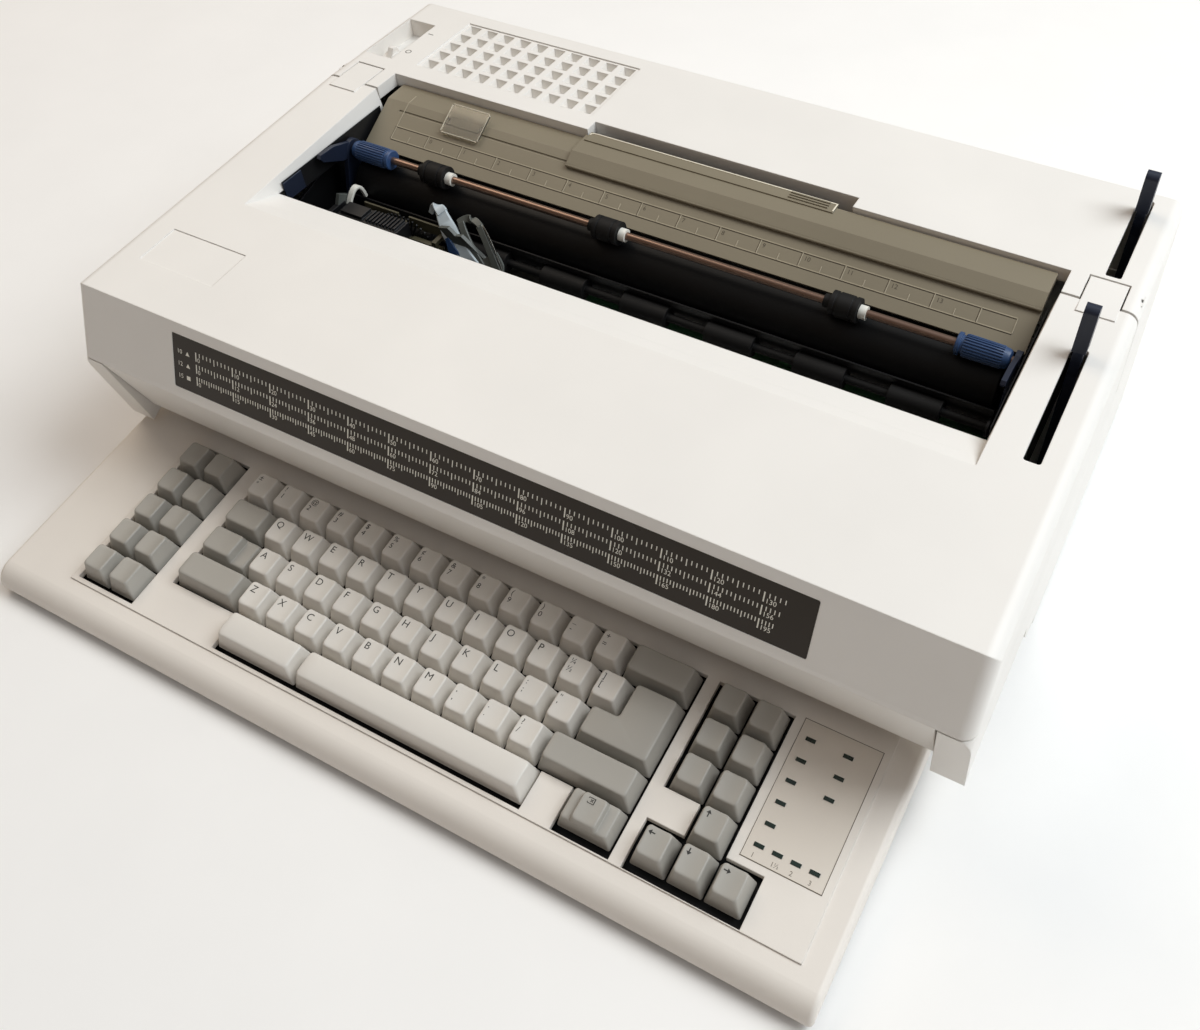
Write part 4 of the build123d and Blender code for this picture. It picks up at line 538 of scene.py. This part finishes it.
# Opening shade. Thin dark strips on the inner walls of the access cover's opening, painted shade where
# those walls fall in shadow, with a dark blue plate at the front of the left one.
liner_outer, liner_inner, plate_inner = 215.9, 215.5, 215.1
shade_liner = []
for side in (-1, 1):
    x0, x1 = sorted((side * liner_outer, side * liner_inner))
    shade_liner.append(bar((x0, x1, 20.0, 112.0, 124.0, 137.4), upright, black_plastic))
shade_liner.append(bar((-liner_inner, -plate_inner, 20.4, 36.0, 124.4, 136.4), upright, navy_plastic))
put_piece("opening_painted_shade", shade_liner, "cover")


# Switch marks. The open ring and the stroke printed beside the power rocker.
switch_ink = surface_finish("grey_ink", "6B675F", 0.5, 0.05)
switch_x, off_y, mark_top = -227.8, 160.8, 147.04
ring_outer, ring_inner, ring_points = 2.1, 1.5, 28
ring = np.linspace(0, 2 * math.pi, ring_points, endpoint=False)
circles = [
    upright(switch_x + r * np.cos(ring), off_y + r * np.sin(ring), np.full(ring_points, mark_top))
    for r in (ring_outer, ring_inner)
]
marks = [(np.concatenate(circles), grid_faces(2, ring_points), switch_ink)]
marks.append(bar((-229.9, -225.9, 185.0, 185.7, 147.0, 147.05), upright, switch_ink))
put_piece("switch_marks", marks, "chassis")


# Margin window. A smoked pane let into the cover's face, printed inside with three white scales
# for ten, twelve and fifteen characters to the inch.
smoked_pane = surface_finish("smoked_pane", "2B2114", 0.3, 0.06, 0.002, 0.00001, 0.0003, shine=0.3)
window_print = surface_finish("window_print", "EDE9DD", 0.5, 0.04, 0.0008, 0.00001, 0.0001)
dress(smoked_pane, "margin_window")
face_top_y, face_top_z = -97.58, 134.71
face_lean = math.radians(21.3)


def on_face(x, s, h):
    """A place on the cover's leaning face: s up from its top edge, h out of it."""
    y = face_top_y + s * math.sin(face_lean) - h * math.cos(face_lean)
    z = face_top_z + s * math.cos(face_lean) + h * math.sin(face_lean)
    return np.stack([x, y, z], -1)


scale_zero = -171.95
print_low, print_high = -0.3, -0.2
long_mark, long_half, short_mark, short_half = 5.2, 0.34, 2.4, 0.24
triangle = np.array([[0, 0], [2.8, 0], [1.4, 2.5]])
square = np.array([[0, 0], [2.6, 0], [2.6, 2.4], [0, 2.4]])
scale = []
for top, pitch, between, sign in (
    (13.2, 10, {5: 3.7}, triangle),
    (20.3, 12, {6: 3.7}, triangle),
    (27.6, 15, {5: 3.4, 10: 3.4}, square),
):
    for n in range(13 * pitch + 5):
        x = scale_zero + n * inch / pitch
        within = n % pitch
        length = long_mark if within == 0 else between.get(within, short_mark)
        half = long_half if within == 0 else short_half
        mark = (x - half, x + half, -top - length, -top, print_low, print_high)
        scale.append(bar(mark, on_face, window_print))
    for n in range(14):
        figure, x, foot = str(n * pitch), scale_zero + n * inch, -top - 5.4
        scale.append(print_flat(figure, 2.5, x + 0.9, foot, print_high, on_face, window_print))
    foot = -top - 4.2
    scale.append(print_flat(str(pitch), 2.5, scale_zero - 13.4, foot, print_high, on_face, window_print))
    places = on_face(sign[:, 0] + scale_zero - 7.4, sign[:, 1] + foot, np.full(len(sign), print_high))
    scale.append((places, [list(range(len(sign)))], window_print))
put_piece("margin_scale", scale, "cover")


# Keyboard. A low separate case of pinkish beige plastic round a black plate with the switches,
# with green lamps under a thin label at its right end.
keyboard_plastic = surface_finish(
    "keyboard_plastic", "E7E0D7", 0.5, 0.03, 0.0007, 0.00003, 0.0008, "EFE8DE"
)
green_lens = surface_finish("green_lens", "14261E", 0.25, 0.1, 0.0008, 0.00001, 0.0002, "35483E")
dress(keyboard_plastic, "keyboard_case")
dress(black_plastic, "key_plate", "keyboard_base")
dress(green_lens, "indicator_lamps")
unit = 19.05
keys_left = -157.38
deck_y, deck_z = -112.14, 30.47
deck_slope = math.radians(7)


def on_deck(x, v, h):
    """A place over the keyboard's sloping deck: x from the number row's left edge, v up the
    slope from the number row's middle, h square to the deck."""
    y = deck_y + v * math.cos(deck_slope) - h * math.sin(deck_slope)
    z = deck_z + v * math.sin(deck_slope) + h * math.cos(deck_slope)
    return np.stack([x + keys_left, y, z], -1)


# Indicator label. A thin printed film round the lamps with a fine brown border.
label_film = surface_finish("label_film", "DDD4C8", 0.45, 0.02, 0.0008, 0.00001, 0.0001)
label_line = surface_finish("label_line", "6E6355", 0.5, 0.05)
label_left, label_right = 182.3 - keys_left, 222.8 - keys_left
label_low = (-173.2 - deck_y) / math.cos(deck_slope)
label_high = (-101.4 - deck_y) / math.cos(deck_slope)
label = [bar((label_left, label_right, label_low, label_high, -0.1, 0.1), on_deck, label_film)]
for x0, x1, v0, v1 in (
    (label_left, label_right, label_low, label_low + 0.45),
    (label_left, label_right, label_high - 0.3, label_high),
    (label_left, label_left + 0.3, label_low, label_high),
    (label_right - 0.35, label_right, label_low, label_high),
):
    label.append(bar((x0, x1, v0, v1, 0.05, 0.16), on_deck, label_line))
figures_left, figures_foot = 196.2 - keys_left, label_low + 1.6
for text, shift in (("1", -9.4), ("1½", 0.3), ("2", 9.6), ("3", 18.8)):
    x = figures_left + shift
    label.append(print_flat(text, 2.2, x, figures_foot, 0.13, on_deck, label_line))
put_piece("indicator_label", label, "keyboard")


# Keys. Two-shot mouldings with hollow tapered caps, dished across the finger, printed with dark
# ink. The letter, number, code and space keys are cream and the others grey.
cream_key = surface_finish("cream_key", "DDD8D0", 0.42, 0.02, 0.0006, 0.00002, 0.0004, "ECE7DD")
grey_key = surface_finish("grey_key", "A8A49C", 0.42, 0.02, 0.0006, 0.00002, 0.0004, "BBB6AC")
key_ink = surface_finish("key_ink", "26231F", 0.55, 0.05, 0.0006, 0.00001, 0.0001)
key_gap = 0.85
key_height = 9.53
row_heights = (0.0, -0.74, -1.27, -0.16, 0.3)
key_skirt = 3.0
side_slope, front_slope, rear_slope = 2.9, 3.2, 1.2
cap_wall = 1.2
stem_radius = 2.4
stem_foot = -5.6
stem_inset = 0.6
stem_sides = 20
stem_shift = 1
edge_round = 0.75
print_lift = 0.05


def corner_pattern():
    """Where each point of a rounded rectangle hangs: the share of the straight part it starts
    from, and the direction in which the corner radius carries it."""
    arc, long_side, short_side = 5, 7, 2
    base, push = [], []
    for k in range(4):
        turn = k * math.pi / 2
        now = np.array([[1, -1], [1, 1], [-1, 1], [-1, -1]][k], float)
        after = np.array([[1, 1], [-1, 1], [-1, -1], [1, -1]][k], float)
        count = short_side if k % 2 == 0 else long_side
        for share in np.linspace(0, 1, count + 2)[1:-1]:
            base.append(now + (after - now) * share)
            push.append((math.cos(turn), math.sin(turn)))
        for angle in np.linspace(turn, turn + math.pi / 2, arc):
            base.append(after)
            push.append((math.cos(angle), math.sin(angle)))
    return np.array(base), np.array(push)


pattern_base, pattern_push = corner_pattern()


def cap_form(left, right, row, top=None, dish=0.75, crown=0.0, low=None):
    """A hollow cap as one closed skin: rounded rectangles from the middle of the underside out
    and down the inner wall, under the skirt, up the tapered outside, over a rounded edge and in
    to the top's middle. The top sinks by the dish towards its middle line, or falls by the crown
    towards front and rear, in proportion to the square of the distance."""
    top = key_height + row_heights[row] if top is None else top
    low = -key_skirt if low is None else low
    full = key_height + row_heights[row] + key_skirt
    middle = (left + right) / 2 * unit
    half_x = (right - left) * unit / 2 - key_gap / 2
    half_y = (unit - key_gap) / 2
    rings = []

    def ring(height, inset, size=1.0, follow=0.0):
        share = (height + key_skirt) / full
        a = (half_x - side_slope * share - inset) * size
        front = half_y - front_slope * share - inset
        rear = half_y - rear_slope * share - inset
        b = (front + rear) / 2 * size
        shift = -row * unit + (rear - front) / 2 - (front_slope - rear_slope) / 2
        r = min((1.0 + share) * size, a * 0.98, b * 0.98)
        rings.append((a, b, max(r, 0), shift, height, follow))

    inner = top - cap_wall
    for size in (0.0, 0.5):
        ring(inner, cap_wall, size)
    ring(inner, cap_wall)
    ring(low, cap_wall)
    ring(low, 0)
    ring(low + (top - low) * 0.45, 0, follow=0.25)
    ring(top - edge_round * 1.6, 0, follow=0.8)
    for angle in (0.0, 0.5, 1.0, 1.35):
        rise, inset = math.sin(angle), 1 - math.cos(angle)
        ring(top - edge_round + edge_round * rise, edge_round * inset, follow=1.0)
    for size in (0.9, 0.72, 0.5, 0.25, 0.0):
        ring(top, edge_round, size, 1.0)
    a, b, r, shift, height, follow = np.array(rings).T[:, :, None]
    x = pattern_base[:, 0] * (a - r) + pattern_push[:, 0] * r
    y = pattern_base[:, 1] * (b - r) + pattern_push[:, 1] * r
    reach_x, reach_y = half_x - side_slope, half_y - (front_slope + rear_slope) / 2
    sink = dish * (1 - np.clip(x / reach_x, -1, 1) ** 2) + crown * (y / reach_y) ** 2
    points = on_deck(middle + x, shift + y, height - follow * sink)
    return points.reshape(-1, 3), grid_faces(len(rings), len(pattern_base))


def stem_form(u, v, top):
    """A closed round stem under a cap, turned about the deck's normal."""
    angle = np.linspace(0, 2 * math.pi, stem_sides, endpoint=False)
    radius = np.array([0, stem_radius, stem_radius, 0])[:, None]
    height = np.array([top - 1.0, top - 1.0, stem_foot, stem_foot])[:, None] + 0 * angle
    points = on_deck(u + radius * np.cos(angle), v + radius * np.sin(angle), height)
    return points.reshape(-1, 3), grid_faces(4, stem_sides)


def stem_places(left, right):
    """One stem on a single key, two near the ends of a wide one, three under the space bar."""
    middle, reach = (left + right) / 2, (right - left) / 2 - stem_inset
    if right - left > 4:
        return [middle - reach, middle, middle + reach]
    return [middle - reach, middle + reach] if right - left > 1.6 else [middle]


def key_print(text, left, right, row, dish, place, size):
    """Type on a cap's top, carried down by the dish so that it lies on the surface."""
    top = key_height + row_heights[row]
    half_x = (right - left) * unit / 2 - key_gap / 2 - side_slope
    depth = unit - key_gap - front_slope - rear_slope
    places, faces = glyphs(text, size)
    x = places[:, 0] - half_x + place[0] * 12.4
    y = places[:, 1] - depth / 2 + place[1] * depth
    sink = dish * (1 - np.clip(x / half_x, -1, 1) ** 2)
    points = on_deck((left + right) / 2 * unit + x, -row * unit + y, top - sink + print_lift)
    return points, faces, key_ink


def arrow_print(turn, left, right, row, dish):
    """A short arrow on a cap's top, turned by quarter turns from pointing right."""
    outline = np.array(
        [(-1.7, -0.3), (0.1, -0.3), (0.1, -1.3), (1.7, 0), (0.1, 1.3), (0.1, 0.3), (-1.7, 0.3)]
    )
    c, s = math.cos(turn * math.pi / 2), math.sin(turn * math.pi / 2)
    x = outline[:, 0] * c - outline[:, 1] * s - 3.2
    y = outline[:, 0] * s + outline[:, 1] * c + 3.8
    half_x = (right - left) * unit / 2 - key_gap / 2 - side_slope
    sink = dish * (1 - (x / half_x) ** 2)
    top = key_height + row_heights[row]
    points = on_deck((left + right) / 2 * unit + x, -row * unit + y, top - sink + print_lift)
    return points, [list(range(len(outline)))], key_ink


def key_group(node, keys, material, dish=0.75, crown=0.0):
    """All caps of one CAD node with their stems and print, riding on that node's own body."""
    parts = []
    for left, right, row, marks in keys:
        points, faces = cap_form(left, right, row, dish=dish, crown=crown)
        parts.append((points, faces, material))
        top = key_height + row_heights[row]
        for place_x in stem_places(left, right):
            points, faces = stem_form(place_x * unit, -row * unit - stem_shift, top)
            parts.append((points, faces, material))
        for text, place, size in marks:
            parts.append(key_print(text, left, right, row, dish, place, size))
    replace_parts(put_piece(node + "_caps", parts, node + "_body"), node)


def two_marks(upper, lower):
    """A shifted mark over the plain one, at the cap's left."""
    return [(upper, (0.12, 0.66), 2.9), (lower, (0.12, 0.34), 2.9)]


number_marks = ["±°", "!1", "@2", "#3", "$4", "%5", "¢6", "&7", "*8", "(9", ")0", "_-", "+="]
keys = [(n, n + 1, 0, two_marks(number_marks[n][0], number_marks[n][1])) for n in range(13)]
key_group("number_row_keys", keys, cream_key)
letter_place = [(0.14, 0.58), 3.7]
upper = [(1.5 + n, 2.5 + n, 1, [(c, *letter_place)]) for n, c in enumerate("QWERTYUIOP")]
upper += [(11.5, 12.5, 1, two_marks("¼", "½")), (12.5, 13.5, 1, two_marks("]", "["))]
key_group("upper_letter_keys", upper, cream_key)
home = [(1.75 + n, 2.75 + n, 2, [(c, *letter_place)]) for n, c in enumerate("ASDFGHJKL")]
home += [(10.75, 11.75, 2, two_marks(":", ";")), (11.75, 12.75, 2, two_marks('"', "'"))]
key_group("home_letter_keys", home, cream_key)
lower = [(2.25 + n, 3.25 + n, 3, [(c, *letter_place)]) for n, c in enumerate("ZXCVBNM")]
lower += [(9.25 + n, 10.25 + n, 3, two_marks(*c)) for n, c in enumerate((",,", "..", "?/"))]
key_group("lower_letter_keys", lower, cream_key)
key_group("backspace_key", [(13, 15, 0, [])], grey_key, dish=0.4)
key_group("shift_keys", [(0, 2.25, 3, []), (12.25, 15, 3, [])], grey_key, dish=0.4)
key_group("code_key", [(2.4, 5.15, 4, [])], cream_key, dish=0.0, crown=0.5)
key_group("space_bar", [(5.15, 12.45, 4, [])], cream_key, dish=0.0, crown=0.6)
left_keys = [(-2.72 + n, -1.72 + n, row, []) for row in range(5) for n in range(2)]
key_group("left_block_keys", left_keys, grey_key)


# Lock and erase keys. Stepped caps: a low shelf the width of the key with the finger pad raised
# on part of it, so that they are told by touch.
def stepped_key(left, right, row, pad_left, pad_right, shelf):
    """The shelf cap, the pad cap on it and the stems under the shelf."""
    top = key_height + row_heights[row]
    low_cap = cap_form(left, right, row, top=top - shelf, dish=0.1)
    pad = cap_form(pad_left, pad_right, row, dish=0.6, low=top - shelf - cap_wall / 2)
    v = -row * unit - stem_shift
    stems = [stem_form(x * unit, v, top - shelf) for x in stem_places(left, right)]
    return [(*form, grey_key) for form in (low_cap, pad, *stems)]


tab_and_lock = [(*cap_form(0, 1.5, 1, dish=0.5), grey_key)]
tab_stem = stem_form(0.75 * unit, -unit - stem_shift, key_height + row_heights[1])
tab_and_lock.append((*tab_stem, grey_key))
tab_and_lock += stepped_key(0, 1.75, 2, 0, 1.32, 4.6)
piece = put_piece("tab_and_lock_keys_caps", tab_and_lock, "tab_and_lock_keys_body")
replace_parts(piece, "tab_and_lock_keys")
erase = stepped_key(13.45, 15, 4, 13.72, 14.72, 3.6)

# The erase key's mark: a cross in a tag-shaped outline.
rim = np.array([(-2.6, 0), (-1.3, 1.5), (2.2, 1.5), (2.2, -1.5), (-1.3, -1.5)])
inner_rim = rim * 0.78 + np.array([0.06, 0])
both = np.concatenate([rim, inner_rim]) + np.array([-1.6, 3.9])
erase_top = key_height + row_heights[4]
level = np.full(len(both), erase_top - 0.45)
flat = on_deck(14.22 * unit + both[:, 0], -4 * unit + both[:, 1], level)
erase.append((flat, grid_faces(2, len(rim)), key_ink))
erase.append(key_print("×", 13.72, 14.72, 4, 0.45, (0.34, 0.7), 2.4))
piece = put_piece("erase_key_caps", erase, "erase_key_body")
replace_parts(piece, "erase_key")


# Return key. One L-shaped grey cap over two rows, with a flat top.
def rounded_corners(corners, radius):
    """A polygon whose every corner is an arc tangent to both its sides."""
    count = 5
    corners = np.asarray(corners, float)
    before = np.roll(corners, 1, 0) - corners
    after = np.roll(corners, -1, 0) - corners
    before /= np.linalg.norm(before, axis=1)[:, None]
    after /= np.linalg.norm(after, axis=1)[:, None]
    centre = corners + (before + after) * radius
    start, end = -after, -before
    share = np.linspace(0, math.pi / 2, count)[None, :, None]
    swing = start[:, None] * np.cos(share) + end[:, None] * np.sin(share)
    return (centre[:, None] + radius * swing).reshape(-1, 2)


def return_form():
    """The L cap: the same corner plan at each height, drawn in by the side slopes."""
    top = key_height + (row_heights[1] + row_heights[2]) / 2
    full = top + key_skirt
    left_low, left_high, right = 12.75 * unit, 13.5 * unit, 15 * unit
    front, step, rear = -2.5 * unit, -1.5 * unit, -0.5 * unit
    half = key_gap / 2

    def plan(height, inset):
        share = (height + key_skirt) / full
        side, toe, heel = (
            slope * share + inset + half for slope in (side_slope, front_slope, rear_slope)
        )
        drop = (front_slope - rear_slope) / 2
        corners = [
            (left_low + side, front + toe - drop), (right - side, front + toe - drop),
            (right - side, rear - heel - drop), (left_high + side, rear - heel - drop),
            (left_high + side, step - heel - drop), (left_low + side, step - heel - drop),
        ]
        flat = rounded_corners(corners, 1.0 + share)
        return on_deck(flat[:, 0], flat[:, 1], np.full(len(flat), height))

    rings = [plan(top - cap_wall, cap_wall), plan(-key_skirt, cap_wall)]
    rings += [plan(-key_skirt, 0), plan(top - edge_round * 1.6, 0)]
    for angle in (0.0, 0.5, 1.0, 1.5):
        rise, inset = math.sin(angle), 1 - math.cos(angle)
        rings.append(plan(top - edge_round + edge_round * rise, edge_round * inset))
    around = len(rings[0])
    faces = grid_faces(len(rings), around)
    faces.append(list(range(around))[::-1])
    faces.append(list(range((len(rings) - 1) * around, len(rings) * around)))
    return np.concatenate(rings), faces


return_stem = stem_form(14.25 * unit, -1.5 * unit - stem_shift, key_height + row_heights[2])
parts = [(*return_form(), grey_key), (*return_stem, grey_key)]
piece = put_piece("return_key_caps", parts, "return_key_body")
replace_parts(piece, "return_key")


# Right block. Ten grey function keys and arrows; the arrow keys have printed arrows.
right_keys = [(15.5 + n, 16.5 + n, row) for row in range(2) for n in range(2)]
right_keys += [(15.5, 16.5, 2), (16.5, 17.5, 2), (16.5, 17.5, 3)]
right_keys += [(15.5 + n, 16.5 + n, 4) for n in range(3)]
arrows = {(16.5, 3): 1, (15.5, 4): 2, (16.5, 4): 3, (17.5, 4): 0}
parts = []
for left, right, row in right_keys:
    parts.append((*cap_form(left, right, row), grey_key))
    top = key_height + row_heights[row]
    stem = stem_form((left + right) / 2 * unit, -row * unit - stem_shift, top)
    parts.append((*stem, grey_key))
    if (left, row) in arrows:
        parts.append(arrow_print(arrows[(left, row)], left, right, row, 0.75))
piece = put_piece("right_block_keys_caps", parts, "right_block_keys_body")
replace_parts(piece, "right_block_keys")


# Studio. A plain pale floor, one wide soft light high behind the right side, a weak one from the
# left, and a pale sky; the camera stands where the photograph was taken.
def plain_floor():
    """A flat sheet under the object, far wider than the view."""
    mesh = bpy.data.meshes.new("floor")
    mesh.from_pydata([(-6, -6, 0), (6, -6, 0), (6, 6, 0), (-6, 6, 0)], [], [[0, 1, 2, 3]])
    mesh.materials.append(surface_finish("floor_paper", "F6F4F1", 0.8, 0.01, 0.002, 0.00001))
    floor = bpy.data.objects.new("floor", mesh)
    bpy.context.scene.collection.objects.link(floor)


plain_floor()
sky = bpy.data.worlds.new("sky")
sky.use_nodes = True
sky_tree = sky.node_tree
facing = sky_tree.nodes.new("ShaderNodeVectorMath")
facing.operation = "DOT_PRODUCT"
facing.inputs[1].default_value = (0.60, 0.28, 0.75)
sky_tree.links.new(sky_tree.nodes.new("ShaderNodeTexCoord").outputs["Generated"], facing.inputs[0])
shade = sky_tree.nodes.new("ShaderNodeValToRGB")
shade.color_ramp.elements[0].position = 0.0
shade.color_ramp.elements[0].color = (0.19, 0.115, 0.05, 1)
shade.color_ramp.elements[1].position = 0.85
shade.color_ramp.elements[1].color = (0.80, 0.83, 0.87, 1)
sky_tree.links.new(facing.outputs["Value"], shade.inputs["Fac"])
sky_tree.links.new(shade.outputs["Color"], sky_tree.nodes["Background"].inputs["Color"])
sky_tree.nodes["Background"].inputs["Strength"].default_value = 0.62
bpy.context.scene.world = sky


def soft_light(name, place, target, size, power, tint):
    """A square area light at a place, turned towards a target."""
    lamp = bpy.data.lights.new(name, "AREA")
    lamp.size = size
    lamp.energy = power
    lamp.color = tint
    holder = bpy.data.objects.new(name, lamp)
    holder.location = place
    ray = np.array(target) - np.array(place)
    flat = math.hypot(ray[0], ray[1])
    holder.rotation_euler = (math.atan2(flat, -ray[2]), 0, math.atan2(ray[1], ray[0]) - math.pi / 2)
    bpy.context.scene.collection.objects.link(holder)


object_middle = (0, 0, 0.1)
soft_light("window_light", (1.32, 0.76, 1.92), object_middle, 1.4, 46, (0.90, 0.96, 1.0))
soft_light("room_light", (-1.3, 0.5, 1.8), object_middle, 1.2, 12, (1.0, 0.86, 0.70))
bpy.context.scene.view_settings.view_transform = "Standard"

azimuth, elevation, roll = math.radians(29.28), math.radians(47.83), math.radians(-1.69)
reach = math.cos(elevation)
back = np.array([math.sin(azimuth) * reach, -math.cos(azimuth) * reach, math.sin(elevation)])
right_hand = np.cross(-back, [0, 0, 1])
right_hand /= np.linalg.norm(right_hand)
up = np.cross(right_hand, -back)
across = math.cos(roll) * right_hand + math.sin(roll) * up
upward = -math.sin(roll) * right_hand + math.cos(roll) * up
lens = bpy.data.cameras.new("camera")
lens.sensor_width = 36
lens.lens = 34.95
lens.shift_x = -0.0777
lens.shift_y = -0.0615
lens.clip_start = 0.05
camera = bpy.data.objects.new("camera", lens)
turn = np.eye(4)
turn[:3, :3] = np.stack([across, upward, back], 1)
turn[:3, 3] = (0.273746, -0.367470, 0.537990)
camera.matrix_world = Matrix(turn.tolist())
bpy.context.scene.collection.objects.link(camera)
bpy.context.scene.camera = camera
